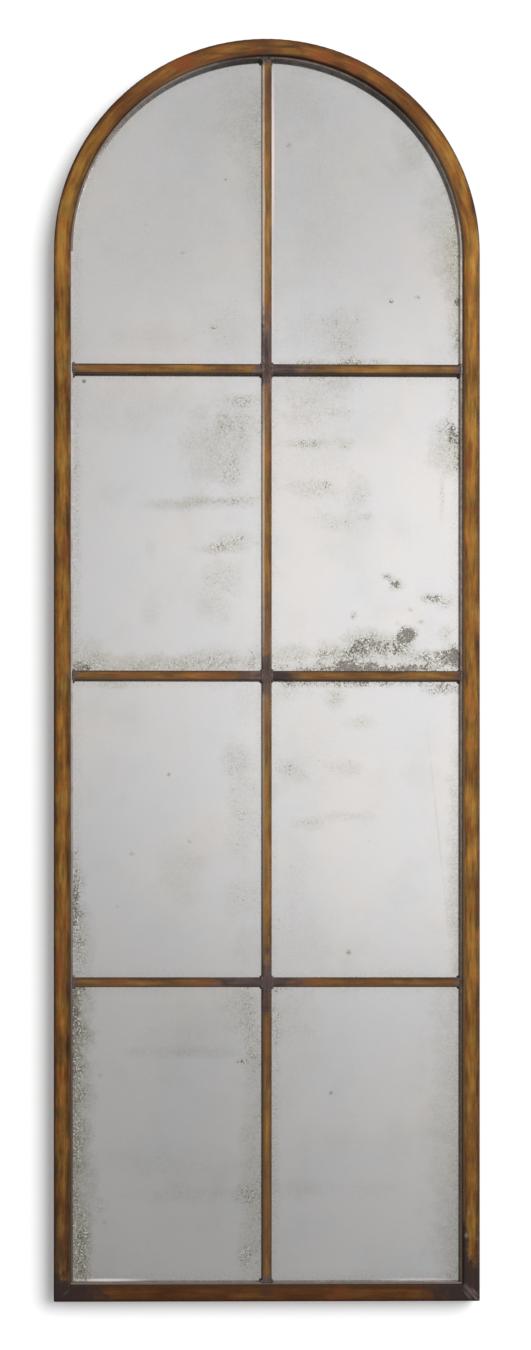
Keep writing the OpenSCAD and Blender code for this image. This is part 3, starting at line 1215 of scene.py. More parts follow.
# How far the weld of a crossing has tinted its bars: the middle and the reach, in mm
ARM_HEAT: dict[Row, tuple[tuple[float, float], ...]] = {
    Row.UPPER: ((-4, 26), (28, 66)), Row.MIDDLE: ((-8, 50), (14, 44)),
    Row.LOWER: ((-30, 84), (14, 56))}
ARM_RED: dict[Row, tuple[tuple[float, float], ...]] = {
    Row.UPPER: ((-230, 40),), Row.MIDDLE: ((-64, 70), (-200, 40)),
    Row.LOWER: ((-90, 60), (56, 40), (-230, 40))}
# Where the bars have stayed nearly black beside a crossing, in the same way
ARM_SOOT: dict[Row, tuple[tuple[float, float], ...]] = {
    Row.UPPER: ((22, 40), (92, 60)), Row.MIDDLE: ((16, 30), (-40, 40)),
    Row.LOWER: ((-24, 90), (16, 56))}
MULLION_HEAT = (Spot(0, 1424, 30, 80), Spot(0, 1376, 30, 34), Spot(0, 936, 30, 60),
                Spot(0, 914, 30, 34, 0.8), Spot(0, 474, 30, 74), Spot(0, 1340, 30, 80, 0.45),
                Spot(0, 996, 30, 90, 0.4), Spot(0, 890, 30, 100, 0.4))
MULLION_RED = (Spot(0, 985, 12, 50, 0.7), Spot(0, 416, 12, 30, 0.7), Spot(0, 1790, 12, 90, 0.5),
               Spot(0, 1480, 12, 40, 0.5))
MULLION_SOOT = (Spot(0, 470, 30, 86, 0.34), Spot(0, 1800, 30, 90, 0.3),
                Spot(0, 950, 30, 40, 0.25))
# Painted highlights along the frame's inner edge, where its inner side catches the light
RUBBED_EDGES = (Spot(300, 760, 90, 1100, 0.75), Spot(292, 1690, 120, 200, 0.75),
                Spot(-110, 1830, 130, 80, 0.6))

# Where the silver has gone, pane by pane
FOXING: dict[str, tuple[Foxing, ...]] = {
    "arch_left_pane": (
        Foxing(-39, 1787, 50, 110, 0.18, 0.14), Foxing(-28, 1728, 34, 110, 0.12, 0.16),
        Foxing(-98, 1757, 75, 113, 0.08, 0.06), Foxing(-61, 1674, 5.1, 3.9, 0.2, 0.7),
        Foxing(-79, 1453, 6.7, 5.1, 0.15, 0.6), Foxing(-125, 1564, 6.7, 5.1, 0.1, 0.55),
        Foxing(-180, 1606, 4.5, 6.7, 0.08, 0.45), Foxing(-165, 1579, 154, 137, 0.07, 0.03),
        Foxing(-61, 1453, 59, 59, 0.06, 0.22), Foxing(-173, 1438, 109, 34, 0.07, 0.08),
        Foxing(-18, 1616, 21, 205, 0.06, 0.12)),
    "arch_right_pane": (
        Foxing(33, 1726, 6, 6, 0.25, 0.7), Foxing(80, 1638, 92, 222, 0.08, 0.06),
        Foxing(51, 1787, 75, 75, 0.1, 0.08), Foxing(274, 1604, 54, 120, 0.36, 0.16),
        Foxing(284, 1542, 34, 100, 0.3, 0.2), Foxing(286, 1493, 10, 10, 0.35, 0.9),
        Foxing(286, 1439, 8.5, 41, 0.16, 0.4), Foxing(187, 1493, 6.7, 6.7, 0.25, 0.8),
        Foxing(226, 1499, 6.7, 4.8, 0.18, 0.6), Foxing(118, 1433, 41, 66, 0.2, 0.34),
        Foxing(74, 1445, 75, 59, 0.1, 0.2), Foxing(134, 1463, 7.4, 6, 0.1, 0.4),
        Foxing(103, 1400, 144, 12, 0.2, 0.34), Foxing(218, 1713, 64, 28, 0.28, 0.1, turn=-62),
        Foxing(287, 1476, 26, 110, 0.26, 0.1)),
    "upper_left_pane": (
        Foxing(-272, 1372, 5.4, 4.5, 0.6, 1.2), Foxing(-39, 1345, 45, 14, 0.16, 0.55),
        Foxing(-42, 1311, 52, 45, 0.15, 0.32), Foxing(-66, 1280, 80, 90, 0.17, 0.25),
        Foxing(-61, 1234, 38, 34, 0.12, 0.27), Foxing(-92, 1262, 70, 80, 0.12, 0.1),
        Foxing(-91, 1192, 99, 15, 0.22, 0.26), Foxing(-77, 1195, 48, 8.5, 0.1, 0.22),
        Foxing(-140, 1188, 69, 15, 0.2, 0.1), Foxing(-42, 1197, 52, 17, 0.07, 0.26),
        Foxing(-46, 1133, 55, 24, 0.14, 0.55), Foxing(-77, 1121, 45, 12, 0.2, 0.3),
        Foxing(-65, 1079, 52, 38, 0.12, 0.36), Foxing(-77, 1038, 45, 38, 0.11, 0.28),
        Foxing(-173, 1029, 24, 34, 0.12, 0.14), Foxing(-150, 948, 200, 24, 0.36, 0.34),
        Foxing(-65, 960, 89, 28, 0.16, 0.3), Foxing(-265, 962, 45, 34, 0.2, 0.4),
        Foxing(-277, 942, 24, 14, 0.2, 0.5), Foxing(-284, 1162, 8.5, 291, 0.05, 0.24),
        Foxing(-202, 1341, 137, 59, 0.12, 0.03), Foxing(-173, 1125, 15, 28, 0.1, 0.04)),
    "upper_right_pane": (
        Foxing(65, 1362, 100, 44, 0.12, 0.16), Foxing(113, 1369, 28, 24, 0.26, 0.2),
        Foxing(62, 1328, 60, 40, 0.1, 0.26), Foxing(113, 1325, 25, 15, 0.1, 0.3),
        Foxing(60, 1280, 48, 12, 0.2, 0.5), Foxing(118, 1279, 21, 14, 0.18, 0.44),
        Foxing(77, 1267, 89, 154, 0.05, 0.16), Foxing(68, 1212, 48, 22, 0.12, 0.4),
        Foxing(89, 1219, 15, 12, 0.1, 0.4), Foxing(137, 1207, 28, 38, 0.16, 0.42),
        Foxing(103, 1162, 48, 24, 0.06, 0.4), Foxing(149, 1171, 18, 10, 0.1, 0.4),
        Foxing(268, 1271, 36, 54, 0.32, 0.42), Foxing(269, 1305, 24, 22, 0.12, 0.34),
        Foxing(263, 1204, 6.9, 48, 0.1, 0.4), Foxing(278, 1341, 15, 78, 0.08, 0.26),
        Foxing(289, 1277, 18, 50, 0.3, 0.3),
        Foxing(181, 1081, 15, 10, 0.2, 0.62), Foxing(195, 1069, 18, 12, 0.26, 0.75),
        Foxing(247, 1049, 22, 12, 0.3, 0.8), Foxing(265, 1043, 18, 17, 0.12, 0.5),
        Foxing(212, 997, 21, 18, 0.6, 1.45), Foxing(131, 1023, 7.7, 10, 0.25, 0.75),
        Foxing(231, 1014, 10, 6.2, 0.2, 0.7), Foxing(216, 1032, 6, 5.1, 0.25, 0.8),
        Foxing(196, 1012, 7.4, 7.4, 0.1, 0.5), Foxing(269, 996, 17, 22, 0.14, 0.6),
        Foxing(279, 964, 28, 24, 0.5, 0.85), Foxing(253, 959, 48, 21, 0.34, 0.6),
        Foxing(152, 977, 60, 38, 0.5, 0.6), Foxing(142, 978, 44, 20, 0.1, 0.32),
        Foxing(196, 978, 38, 22, 0.26, 0.5),
        Foxing(113, 960, 55, 24, 0.26, 0.48), Foxing(88, 972, 25, 25, 0.16, 0.4),
        Foxing(36, 964, 66, 26, 0.2, 0.46), Foxing(211, 961, 52, 22, 0.26, 0.46),
        Foxing(152, 943, 190, 15, 0.5, 0.95), Foxing(187, 1075, 21, 8, 0.2, 0.5, turn=-42)),
    "middle_left_pane": (
        Foxing(-146, 785, 6.5, 5.1, 0.4, 0.7), Foxing(-201, 667, 6.5, 5.1, 0.3, 0.6),
        Foxing(-115, 685, 5.1, 4.5, 0.25, 0.5), Foxing(-223, 588, 5.1, 4.5, 0.2, 0.5),
        Foxing(-45, 805, 39, 46, 0.18, 0.32), Foxing(-37, 753, 34, 59, 0.05, 0.3),
        Foxing(-37, 694, 34, 59, 0.06, 0.28), Foxing(-39, 605, 39, 48, 0.08, 0.34),
        Foxing(-30, 530, 28, 48, 0.05, 0.26), Foxing(-128, 642, 48, 69, 0.14, 0.08),
        Foxing(-288, 560, 26, 130, 0.34, 0.5), Foxing(-284, 627, 14, 75, 0.12, 0.4),
        Foxing(-268, 530, 18, 75, 0.14, 0.3), Foxing(-30, 892, 34, 45, 0.05, 0.22),
        Foxing(-232, 919, 85, 8.5, 0.1, 0.24)),
    "middle_right_pane": (
        Foxing(125, 922, 171, 10, 0.18, 0.62), Foxing(36, 907, 41, 18, 0.08, 0.42),
        Foxing(103, 901, 25, 25, 0.2, 0.4), Foxing(262, 913, 45, 14, 0.26, 0.66),
        Foxing(28, 794, 29, 18, 0.06, 0.5), Foxing(54, 782, 22, 15, 0.05, 0.4),
        Foxing(118, 794, 41, 18, 0.12, 0.3), Foxing(140, 863, 38, 17, 0.1, 0.34),
        Foxing(65, 713, 45, 15, 0.1, 0.4), Foxing(122, 724, 55, 12, 0.1, 0.24),
        Foxing(43, 642, 38, 109, 0.06, 0.12), Foxing(68, 832, 75, 109, 0.04, 0.06),
        Foxing(123, 520, 6.5, 5.7, 0.4, 0.75), Foxing(51, 538, 75, 59, 0.06, 0.14),
        Foxing(257, 701, 3, 200, 0.16, 0, turn=6),
        Foxing(292, 600, 30, 340, 0.36, 0)),
    "lower_left_pane": (
        Foxing(-292, 240, 46, 560, 0.62, 0.44), Foxing(-290, 424, 34, 150, 0.48, 0.36),
        Foxing(-248, 335, 5.4, 5.4, 0.15, 0.55), Foxing(-247, 144, 15, 18, 0.06, 0.42),
        Foxing(-242, 117, 4.5, 4.5, 0.2, 0.6), Foxing(-119, 370, 123, 14, 0.14, 0.2),
        Foxing(-98, 404, 109, 75, 0.06, 0.14), Foxing(-38, 440, 46, 46, 0.14, 0.34),
        Foxing(-39, 356, 12, 6.2, 0.3, 0.8),
        Foxing(-24, 389, 21, 109, 0.12, 0.42), Foxing(-20, 150, 34, 200, 0.16, 0.3),
        Foxing(-27, 158, 28, 24, 0.2, 0.34), Foxing(-30, 62, 22, 24, 0.12, 0.5),
        Foxing(-113, 193, 92, 59, 0.05, 0.16), Foxing(-187, 208, 109, 34, 0.03, 0.12),
        Foxing(-119, 157, 109, 21, 0.1, 0.12), Foxing(-270, 84, 16, 84, 0.26, 0.4),
        Foxing(-20, 240, 24, 330, 0.12, 0)),
    "lower_right_pane": (
        Foxing(97, 309, 5.4, 5.4, 0.35, 0.7), Foxing(36, 434, 59, 59, 0.1, 0.24),
        Foxing(286, 240, 64, 640, 0.3, 0), Foxing(292, 90, 46, 190, 0.16, 0),
        Foxing(51, 166, 59, 24, 0.14, 0.16), Foxing(155, 166, 55, 21, 0.08, 0.04),
        Foxing(12, 285, 14, 274, 0.06, 0.26), Foxing(54, 371, 59, 75, 0.05, 0.14)),
}


def copy_mesh(model: bpy.types.Object) -> bpy.types.Object:
    """Copy an object together with its mesh.

    Args:
        model: what is copied.

    Returns:
        The copy, in the scene.
    """
    twin = model.copy()
    twin.data = model.data.copy()
    bpy.context.scene.collection.objects.link(twin)
    return twin


def apply_modifier(piece: bpy.types.Object, kind: str, **settings: object) -> None:
    """Add a modifier to a piece and apply it.

    Args:
        piece: the piece.
        kind: the modifier's type.
        settings: properties to set on it.
    """
    bpy.context.view_layer.objects.active = piece
    modifier = piece.modifiers.new(kind.lower(), kind)
    for name, value in settings.items():
        setattr(modifier, name, value)
    bpy.ops.object.modifier_apply(modifier=modifier.name)


@dataclass(frozen=True)
class Drop:
    """A drop of weld metal, in mm from its joint's middle and behind the bars' front.

    Attributes:
        x: to the right.
        y: into the depth.
        z: upwards.
        rx: its reach to the sides.
        ry: its reach in depth.
        rz: its reach up and down.
    """

    x: float
    y: float
    z: float
    rx: float
    ry: float
    rz: float


@dataclass
class WeldShop:
    """Lays weld beads drop by drop, as a welder does, and melts the drops together.

    Attributes:
        layout: sizes of the mirror.
        voxel: grain of the melted surface.
        step: distance between two drops of a seam, in mm.
        sink: distance between two drops that go down beside a bar, in mm.
        pitting: height of the uneven surface.
    """

    layout: Layout
    voxel: float = 0.0007
    step: float = 2.6
    sink: float = 3.0
    pitting: float = 0.0007

    def __post_init__(self) -> None:
        """Model the one drop that all beads are made of."""
        bpy.ops.object.select_all(action="DESELECT")
        bpy.ops.mesh.primitive_ico_sphere_add(subdivisions=2, radius=1.0)
        self.model = bpy.context.object
        self.clouds = bpy.data.textures.new("weld_pitting", "CLOUDS")
        self.clouds.noise_scale = 0.0035

    def seam(self, x: float, length: float) -> list[Drop]:
        """Lay a row of drops up a seam on the front of the bars.

        Args:
            x: the seam, to the right of the joint's middle, in mm.
            length: the seam's length, in mm.

        Returns:
            The drops.
        """
        count = round(length / self.step)
        places = [(i / count - 0.5) * length for i in range(count + 1)]
        return [Drop(x + 0.35 * (-1) ** i, 1.7, z, 2.9, 2.3, 1.9) for i, z in enumerate(places)]

    def corners(self, x: float, z: float, depth: float) -> list[Drop]:
        """Lay rows of drops down the two inner corners beside a seam.

        Args:
            x: the corners, to the right of the joint's middle, in mm.
            z: half their distance, in mm.
            depth: how deep they reach behind the bars' front, in mm.

        Returns:
            The drops.
        """
        drops = []
        for side in (-1, 1):
            for i in range(round(depth / self.sink)):
                reach = 2.0 + 0.25 * (i % 2)
                drops.append(Drop(x, 1.8 + i * self.sink, side * z, reach, 2.2, reach))
        return drops

    def tip(self, half: float, depth: float, way: int) -> list[Drop]:
        """Lay the drops round an end of the mullion.

        Args:
            half: half the mullion's face, in mm.
            depth: the mullion's depth, in mm.
            way: 1 where the mullion goes up from the joint, and -1 where it goes down.

        Returns:
            The drops.
        """
        across = [Drop(half * (i / 3 - 1), 1.1, 0.3 * (-1) ** i, 2.0, 2.1, 2.5)
                  for i in range(7)]
        sides = [Drop(side * (half + 0.9), 1.2 + i * self.sink, way, 2.6, 2.2, 2.6)
                 for side in (-1, 1) for i in range(round(depth / self.sink))]
        return across + sides

    def melt(self, name: str, joints: list[tuple[float, float, list[Drop]]],
             replaced: str, material: bpy.types.Material) -> bpy.types.Object:
        """Melt drops into one bead piece and cut it off at the glass.

        Args:
            name: the new piece's name.
            joints: for each joint its x and z, in mm, and its drops.
            replaced: the CAD node that the piece stands for.
            material: its finish.

        Returns:
            The piece.
        """
        drops = []
        for x, z, bead in joints:
            for drop in bead:
                twin = copy_mesh(self.model)
                twin.location = ((x + drop.x) * MM, self.layout.bar_front_y + drop.y * MM,
                                 (z + drop.z) * MM)
                twin.scale = (drop.rx * MM, drop.ry * MM, drop.rz * MM)
                drops.append(twin)
        bpy.ops.object.select_all(action="DESELECT")
        for twin in drops:
            twin.select_set(True)
        piece = drops[0]
        bpy.context.view_layer.objects.active = piece
        bpy.ops.object.join()
        bpy.ops.object.transform_apply(location=True, rotation=True, scale=True)
        piece.name = piece.data.name = name
        apply_modifier(piece, "REMESH", mode="VOXEL", voxel_size=self.voxel)
        apply_modifier(piece, "DISPLACE", texture=self.clouds, strength=self.pitting,
                       texture_coords="GLOBAL")
        apply_modifier(piece, "SMOOTH", factor=0.5, iterations=3)
        bpy.ops.object.mode_set(mode="EDIT")
        bpy.ops.mesh.select_all(action="SELECT")
        bpy.ops.mesh.bisect(plane_co=(0.0, self.layout.glass_y - 0.0003, 0.0),
                            plane_no=(0.0, 1.0, 0.0), use_fill=True, clear_outer=True)
        bpy.ops.mesh.select_all(action="SELECT")
        bpy.ops.mesh.normals_make_consistent(inside=False)
        bpy.ops.object.mode_set(mode="OBJECT")
        bpy.ops.object.shade_smooth_by_angle(angle=math.radians(50))
        piece.data.materials.clear()
        piece.data.materials.append(material)
        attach(piece, "mirror")
        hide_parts(replaced)
        return piece

    def close(self) -> None:
        """Put the model drop away."""
        bpy.data.objects.remove(self.model)


@dataclass
class OuterFrame:
    """The tube frame: two stiles, the arch, the bottom rail, their welds and the lining strip.

    Attributes:
        layout: sizes of the mirror.
        effects: the shared node groups.
        inner_band: width of the dark band at the frame's inner edge.
        outer_band: width of the dark band at its outer edge.
    """

    layout: Layout
    effects: Effects
    inner_band: float = 0.0026
    outer_band: float = 0.0026

    def build(self) -> list[bpy.types.Object]:
        """Dress the frame and return its pieces."""
        return [*self.dress_hoop(), *self.dress_sill(), *self.dress_strips()]

    def hoop_heat(self) -> tuple[Spot, ...]:
        """Find where the welds of the bars and of the mullion have tinted the hoop.

        Returns:
            The tinted spots.
        """
        ends = [Spot(side.value * self.layout.bar_end, self.layout.bar_height(row), 13, 12, 0.6)
                for side in Side for row in Row]
        return (*ends, Spot(0, self.layout.crown, 16, 13, 0.7))

    def dress_hoop(self) -> list[bpy.types.Object]:
        """Dress the stiles, the arch and the ground welds between them.

        Returns:
            The four pieces.
        """
        glaze = BronzedSteel(
            "bronzed_hoop", Run.HOOP, self.layout.rail_w / 2, self.layout.rail_mid,
            self.inner_band, self.outer_band, heat=self.hoop_heat(), red=FRAME_RED,
            soot=FRAME_SOOT, pale=CORNER_SMEARS,
            bare_edge=RUBBED_EDGES).material(self.layout, self.effects)
        return [dress(name, glaze) for name in
                ("arch_rail", "left_stile", "right_stile", "arch_joint_welds")]

    def dress_sill(self) -> list[bpy.types.Object]:
        """Dress the bottom rail and the ground welds of its mitres.

        Returns:
            The two pieces.
        """
        glaze = BronzedSteel(
            "bronzed_sill", Run.LEVEL, self.layout.rail_w / 2, self.layout.rail_w / 2,
            0.0022, 0.0036, tone(54, 38, 26), tone(56, 38, 26), tarnish=0.26, seed=3.1,
            cast=tone(78, 40, 14), cast_share=0.45,
            soot=SILL_SOOT, pale=CORNER_SMEARS).material(self.layout, self.effects)
        mitres = BronzedSteel(
            "bronzed_mitres", Run.LEVEL, self.layout.rail_w / 2, self.layout.rail_w / 2,
            tarnish=0.5, seed=4.4, soot=MITRE_SOOT,
            pale=CORNER_SMEARS).material(self.layout, self.effects)
        return [dress("bottom_rail", glaze), dress("corner_welds", mitres)]

    def dress_strips(self) -> list[bpy.types.Object]:
        """Dress the strips that line the frame and stop the glass.

        Returns:
            The four strips.
        """
        # Each strip gets a lighter front edge and a darker inner side, high up and then low down:
        # painted highlight and painted shade
        strips = {
            "bottom": StopStrip("sill_strip", tone(116, 104, 96), tone(96, 87, 82),
                                tone(116, 104, 96), tone(96, 87, 82)),
            "left": StopStrip("left_strip", tone(196, 188, 182), tone(110, 98, 88),
                              tone(88, 74, 62), tone(70, 60, 52)),
            "right": StopStrip("right_strip", tone(152, 136, 124), tone(148, 136, 128),
                               tone(96, 76, 60), tone(78, 66, 58),
                               pale=(Spot(292, 1500, 60, 190, 0.8),)),
            "arch": StopStrip("arch_strip", tone(122, 108, 98), tone(120, 113, 108),
                              tone(122, 108, 98), tone(120, 113, 108),
                              (Spot(200, 1790, 150, 90, 0.8), Spot(-30, 1846, 90, 40, 0.9)),
                              pale=(Spot(292, 1580, 60, 70, 0.5),))}
        return [dress(f"{place}_glass_stop", strip.material(self.layout, self.effects))
                for place, strip in strips.items()]


@dataclass
class Grille:
    """The glazing bars over the panes: the mullion, six crossbars and their weld beads.

    Attributes:
        layout: sizes of the mirror.
        effects: the shared node groups.
        end_reach: how far from the end of a bar they are tinted, in mm.
    """

    layout: Layout
    effects: Effects
    end_reach: float = 15.0

    def build(self) -> list[bpy.types.Object]:
        """Dress the bars, lay the beads and return the pieces."""
        return [self.dress_mullion(), *self.dress_crossbars(), *self.lay_beads()]

    def dress_mullion(self) -> bpy.types.Object:
        """Dress the mullion, which is tinted at each crossing and at both ends.

        Returns:
            The mullion.
        """
        heat = (*MULLION_HEAT, Spot(0, self.layout.crown, 30, 15),
                Spot(0, self.layout.stop_top_z / MM, 30, 18))
        # The wide left band turns pale high up, a painted reflection of the mullion's side in the
        # glass; the dark right band is partly dark patina and partly painted shade of the rounded
        # edge
        glaze = BronzedSteel(
            "bronzed_mullion", Run.UPRIGHT, self.layout.bar_half, 0.0, 0.0040, 0.0022,
            tone(84, 68, 50), tone(70, 54, 42), tone(204, 189, 171), tarnish=-0.10, seed=5.7,
            cast_share=0.22, heat=heat, red=MULLION_RED, soot=MULLION_SOOT)
        return dress("mullion", glaze.material(self.layout, self.effects))

    def dress_crossbars(self) -> list[bpy.types.Object]:
        """Dress the crossbars, one finish for each row.

        Returns:
            The six crossbars.
        """
        pieces = []
        # The band along the bottom of each crossbar is wider than the top one: partly dark patina,
        # partly painted shade of its underside
        low_bands, tarnishes = (0.0028, 0.0026, 0.0030), (-0.05, 0.09, 0.18)
        for row, low_band, tarnish in zip(Row, low_bands, tarnishes):
            height = self.layout.bar_height(row)
            heat = [Spot(x, height, reach, 30) for x, reach in ARM_HEAT[row]]
            heat += [Spot(side.value * self.layout.bar_end, height, self.end_reach, 30, 0.8)
                     for side in Side]
            glaze = BronzedSteel(
                f"bronzed_{row.label}_bars", Run.LEVEL, self.layout.bar_half,
                self.layout.bar_zs[row.value], low_band, 0.0024, tone(92, 73, 56),
                tone(62, 47, 37), tarnish=tarnish, cast_share=0.22, seed=7.0 + row.value,
                heat=tuple(heat),
                red=tuple(Spot(x, height, reach, 20, 0.55) for x, reach in ARM_RED[row]),
                soot=tuple(Spot(x, height, reach, 30, 0.3) for x, reach in ARM_SOOT[row]))
            finish = glaze.material(self.layout, self.effects)
            pieces += [dress(f"{row.label}_{side.label}_crossbar", finish) for side in Side]
        return pieces

    def lay_beads(self) -> list[bpy.types.Object]:
        """Model the weld beads at the crossings and at the ends of the bars.

        Returns:
            The five pieces of beads.
        """
        shop = WeldShop(self.layout)
        finish = WeldMetal().material(self.effects)
        half = self.layout.bar_half / MM
        depth = (self.layout.glass_y - self.layout.bar_front_y) / MM
        pieces = []
        for row in Row:
            drops = [drop for side in Side for drop in (
                *shop.seam(side.value * half, 2 * half),
                *shop.corners(side.value * (half + 0.6), half + 0.6, depth))]
            pieces.append(shop.melt(
                f"{row.label}_crossing_bead", [(0.0, self.layout.bar_height(row), drops)],
                f"{row.label}_crossing_weld", finish))
        ends = [(side.value * self.layout.bar_end, self.layout.bar_height(row),
                 [*shop.seam(0.0, 2 * half), *shop.corners(-side.value, half + 0.9, depth)])
                for side in Side for row in Row]
        pieces.append(shop.melt("crossbar_end_beads", ends, "crossbar_end_welds", finish))
        tips = [(0.0, height, shop.tip(half, depth, way)) for height, way in
                ((self.layout.crown, -1), (self.layout.stop_top_z / MM, 1))]
        pieces.append(shop.melt("mullion_end_beads", tips, "mullion_end_welds", finish))
        shop.close()
        return pieces


@dataclass
class MirrorPanes:
    """The eight antique mirror panes behind the grille.

    Attributes:
        layout: sizes of the mirror.
        effects: the shared node groups.
        shades: panes that are greyer than the rest all over.
        seals: panes with painted highlight lines on the glass.
    """

    layout: Layout
    effects: Effects
    shades: dict[str, float] = field(default_factory=lambda: {
        "arch_left_pane": 0.02, "lower_left_pane": 0.02})
    # Painted highlight lines on the glass, in mm
    seals: dict[str, tuple[Spot, ...]] = field(default_factory=lambda: {
        "arch_right_pane": (Spot(9.6, 1715, 3.6, 190), Spot(9, 1500, 3, 150, 0.4)),
        "upper_right_pane": (Spot(220, 1170, 2.2, 190, 0.14),),
        "lower_left_pane": (Spot(-240, 30.5, 80, 3.4, 0.7),),
        "lower_right_pane": (Spot(230, 30.5, 90, 3.0, 0.35),)})

    def build(self) -> list[bpy.types.Object]:
        """Dress each pane with its own foxing.

        Returns:
            The eight panes.
        """
        panes = [AntiqueMirror(node, foxing, self.shades.get(node, 0.0),
                               seal=self.seals.get(node, ())) for node, foxing in
                 FOXING.items()]
        return [dress(pane.node, pane.material(self.layout, self.effects)) for pane in panes]


@dataclass
class Backing:
    """What closes and carries the back: board, clips, screws, hangers and bumpers.

    Attributes:
        effects: the shared node groups.
    """

    effects: Effects

    def build(self) -> list[bpy.types.Object]:
        """Dress the back.

        Returns:
            Its pieces.
        """
        zinc = ZincPlate().material(self.effects)
        fittings = ("board_clips", "clip_screws", "left_hanger_strap", "right_hanger_strap",
                    "left_hanger_ring", "right_hanger_ring", "hanger_screws")
        return [dress("backing_board", Fibreboard().material()),
                *(dress(name, zinc) for name in fittings),
                dress("wall_bumpers", BumperRubber().material())]


# Greys that metal and glass see in the room, from below to above eye level
ROOM_GREYS = ((0.0, 0.365), (0.15, 0.395), (0.27, 0.475), (0.31, 0.505), (0.36, 0.61),
              (0.45, 0.725), (0.55, 0.765), (0.65, 0.72), (0.80, 0.60), (1.0, 0.51))


@dataclass
class Studio:
    """A white wall and a pale floor in soft light, and the camera.

    Attributes:
        layout: sizes of the mirror.
        camera_place: where the camera stands.
        camera_turn: how far it is turned to the right, in degrees.
        lens: its focal length, in mm.
        look: what the middle of the picture shows, as x and z on the frame's front.
        floor_z: height of the floor under the hung mirror.
        room: width of the wall and of the floor.
        key: direction towards the main light.
        key_power: strength of the main light.
        softness: apparent width of the lights, in degrees.
        fill: direction towards the weak light behind the mirror.
        fill_power: its strength.
        ambient: light from all round.
    """

    layout: Layout
    camera_place: Place = (-0.28, -4.2, 0.53)
    camera_turn: float = 1.0
    lens: float = 75.05
    look: tuple[float, float] = (-0.0027, 0.932)
    floor_z: float = -0.25
    room: float = 9.0
    key: Place = (0.72, -1.0, 0.50)
    key_power: float = 2.95
    softness: float = 48.0
    fill: Place = (-1.0, 1.5, 1.0)
    fill_power: float = 1.5
    ambient: float = 0.45

    def build(self) -> list[bpy.types.Object]:
        """Build the world, the camera, the lights, the wall and the floor.

        Returns:
            All but the world.
        """
        bpy.context.scene.view_settings.view_transform = "Standard"
        self.light_world()
        return [self.place_camera(), self.hang_lamp("key_light", self.key, self.key_power),
                self.hang_lamp("back_light", self.fill, self.fill_power),
                self.stand_wall(), self.lay_floor()]

    def place_camera(self) -> bpy.types.Object:
        """Place the camera level and shift its view onto the mirror.

        Returns:
            The camera.
        """
        data = bpy.data.cameras.new("camera")
        data.lens = self.lens
        camera = bpy.data.objects.new("camera", data)
        camera.location = self.camera_place
        camera.rotation_euler = (math.pi / 2, 0.0, -math.radians(self.camera_turn))
        x, y, z = self.camera_place
        away = self.layout.front_y - y
        picture = data.sensor_width / data.lens * away
        aim = x + away * math.tan(math.radians(self.camera_turn))
        data.shift_x = (self.look[0] - aim) / picture
        data.shift_y = (self.look[1] - z) / picture
        bpy.context.scene.collection.objects.link(camera)
        bpy.context.scene.camera = camera
        return camera

    def hang_lamp(self, name: str, towards: Place, power: float) -> bpy.types.Object:
        """Hang a soft distant lamp.

        Args:
            name: its name.
            towards: direction from the mirror to the lamp.
            power: its strength.

        Returns:
            The lamp.
        """
        data = bpy.data.lights.new(name, "SUN")
        data.energy = power
        data.angle = math.radians(self.softness)
        lamp = bpy.data.objects.new(name, data)
        lamp.rotation_euler = Vector(towards).to_track_quat("Z", "Y").to_euler()
        bpy.context.scene.collection.objects.link(lamp)
        return lamp

    def light_world(self) -> None:
        """Light the room evenly, white for the camera and graded where metal and glass look."""
        world = bpy.data.worlds.new("studio")
        bpy.context.scene.world = world
        world.use_nodes = True
        world.cycles.sampling_method = "NONE"
        graph = Graph(world.node_tree)
        x, _, z = graph.axes(graph.node("TexCoord").outputs["Generated"])
        level = graph.node("MapRange")
        graph.fill(level, {"Value": z, "From Min": -0.2, "From Max": 0.4})
        height = graph.colours(level.outputs[0], {
            place: (grey, grey * 0.99, grey * 0.975, 1.0) for place, grey in ROOM_GREYS})
        glow = self.side_glow(graph, x, z)
        seen = graph.vector("MULTIPLY", height, graph.join(glow, glow, glow))
        rays = graph.node("LightPath").outputs
        colour = graph.mix(rays["Is Glossy Ray"], (self.ambient,) * 3 + (1.0,), seen)
        colour = graph.mix(rays["Is Camera Ray"], colour, (1.0, 1.0, 1.0, 1.0))
        back = graph.fill(graph.node("Background"), {"Color": colour})
        graph.put(graph.node("OutputWorld").inputs["Surface"], back.outputs[0])

    @staticmethod
    def side_glow(graph: Graph, x: Socket, z: Socket) -> Value:
        """Grade the room from left to right, where metal and glass look.

        Args:
            graph: the world's graph.
            x: how far to the right they look, as the sine of the angle.
            z: how far up they look, in the same way.

        Returns:
            How bright the room is there beside its mean, about 1.
        """
        lift = graph.less(graph.ramp(z, 0.25, 0.17, 0.0, 0.34),
                          graph.ramp(z, -0.05, -0.09, 0.0, 0.12))
        waves = graph.total(graph.ramp(x, 0.0, 0.02, -0.12, 0.0),
                            graph.ramp(x, 0.03, 0.056, 0.0, 0.10),
                            graph.product(graph.ramp(x, 0.07, 0.098, 0.0, -0.14),
                                          graph.ramp(z, 0.02, 0.07)))
        eye_level = graph.product(graph.ramp(z, 0.25, 0.20), graph.ramp(z, -0.06, 0.03))
        return graph.total(graph.product(graph.ramp(x, 0.035, 0.12), lift),
                           graph.product(waves, eye_level), 1.0)

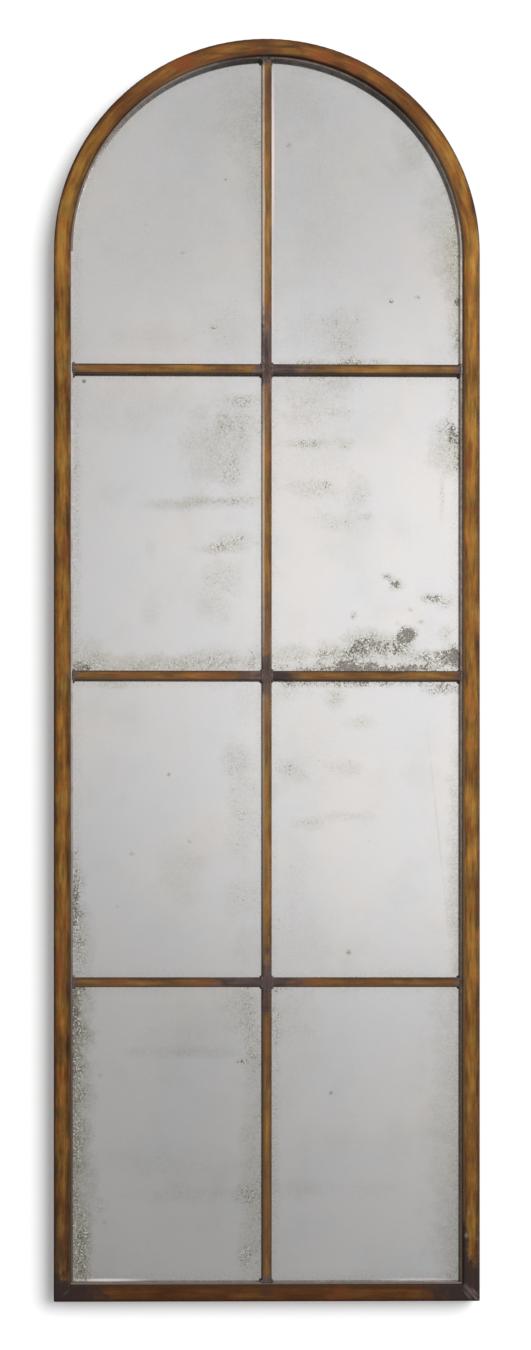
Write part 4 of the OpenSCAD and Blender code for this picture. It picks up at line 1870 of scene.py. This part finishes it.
    def paint(self, name: str, camera_only: bool) -> bpy.types.Material:
        """Mix the white paint of the wall or the floor.

        It is lit by the lamps, so that it keeps the mirror's shadow, and glows faintly, so that
        it comes out white beside the shadow.

        Args:
            name: the material's name.
            camera_only: whether only the camera sees it, and only its front.

        Returns:
            The material.
        """
        made, graph = new_material(name)
        matt = graph.fill(graph.node("BsdfDiffuse"), {"Color": (0.90, 0.90, 0.90, 1.0)})
        glow = graph.fill(graph.node("Emission"), {"Color": (1.0, 1.0, 1.0, 1.0),
                                                   "Strength": 0.10})
        lit = graph.node("AddShader")
        graph.put(lit.inputs[0], matt.outputs[0])
        graph.put(lit.inputs[1], glow.outputs[0])
        rays = graph.node("LightPath").outputs
        if camera_only:
            front = graph.less(1.0, graph.node("NewGeometry").outputs["Backfacing"])
            shown = graph.product(rays["Is Camera Ray"], front)
        else:
            shown = graph.less(1.0, graph.most(rays["Is Glossy Ray"], rays["Is Diffuse Ray"]))
        clear = graph.node("BsdfTransparent")
        choice = graph.node("MixShader")
        for socket, value in zip(choice.inputs, (shown, clear.outputs[0], lit.outputs[0])):
            graph.put(socket, value)
        graph.put(graph.node("OutputMaterial").inputs["Surface"], choice.outputs[0])
        return made

    def stand_wall(self) -> bpy.types.Object:
        """Stand the wall just behind the bumpers, facing the camera."""
        return self.sheet_of("wall", (0.0, self.layout.wall_y + 0.0005, self.room / 2 - 0.5),
                             math.pi / 2, True)

    def lay_floor(self) -> bpy.types.Object:
        """Lay the floor below the hung mirror."""
        return self.sheet_of("floor", (0.0, 0.0, self.floor_z), 0.0, False)

    def sheet_of(self, name: str, place: Place, tilt: float, camera_only: bool
                 ) -> bpy.types.Object:
        """Make a flat sheet of the stage.

        Args:
            name: its name.
            place: its middle.
            tilt: how far it is turned up from the floor.
            camera_only: passed on to its paint.

        Returns:
            The sheet.
        """
        bpy.ops.object.select_all(action="DESELECT")
        bpy.ops.mesh.primitive_plane_add(size=self.room, location=place, rotation=(tilt, 0, 0))
        sheet = bpy.context.object
        sheet.name = name
        sheet.data.materials.append(self.paint(name + "_paint", camera_only))
        return sheet


def main() -> None:
    """Build the studio and the mirror's assemblies in order, and report each piece."""
    logging.basicConfig(level=logging.INFO, format="%(name)s: %(message)s")
    layout = Layout.from_frame()
    effects = Effects()
    assemblies = (Studio(layout), OuterFrame(layout, effects), Grille(layout, effects),
                  MirrorPanes(layout, effects), Backing(effects))
    for assembly in assemblies:
        for piece in assembly.build():
            LOG.info("%s: %s", type(assembly).__name__, piece.name)


if __name__ == "__main__":
    main()
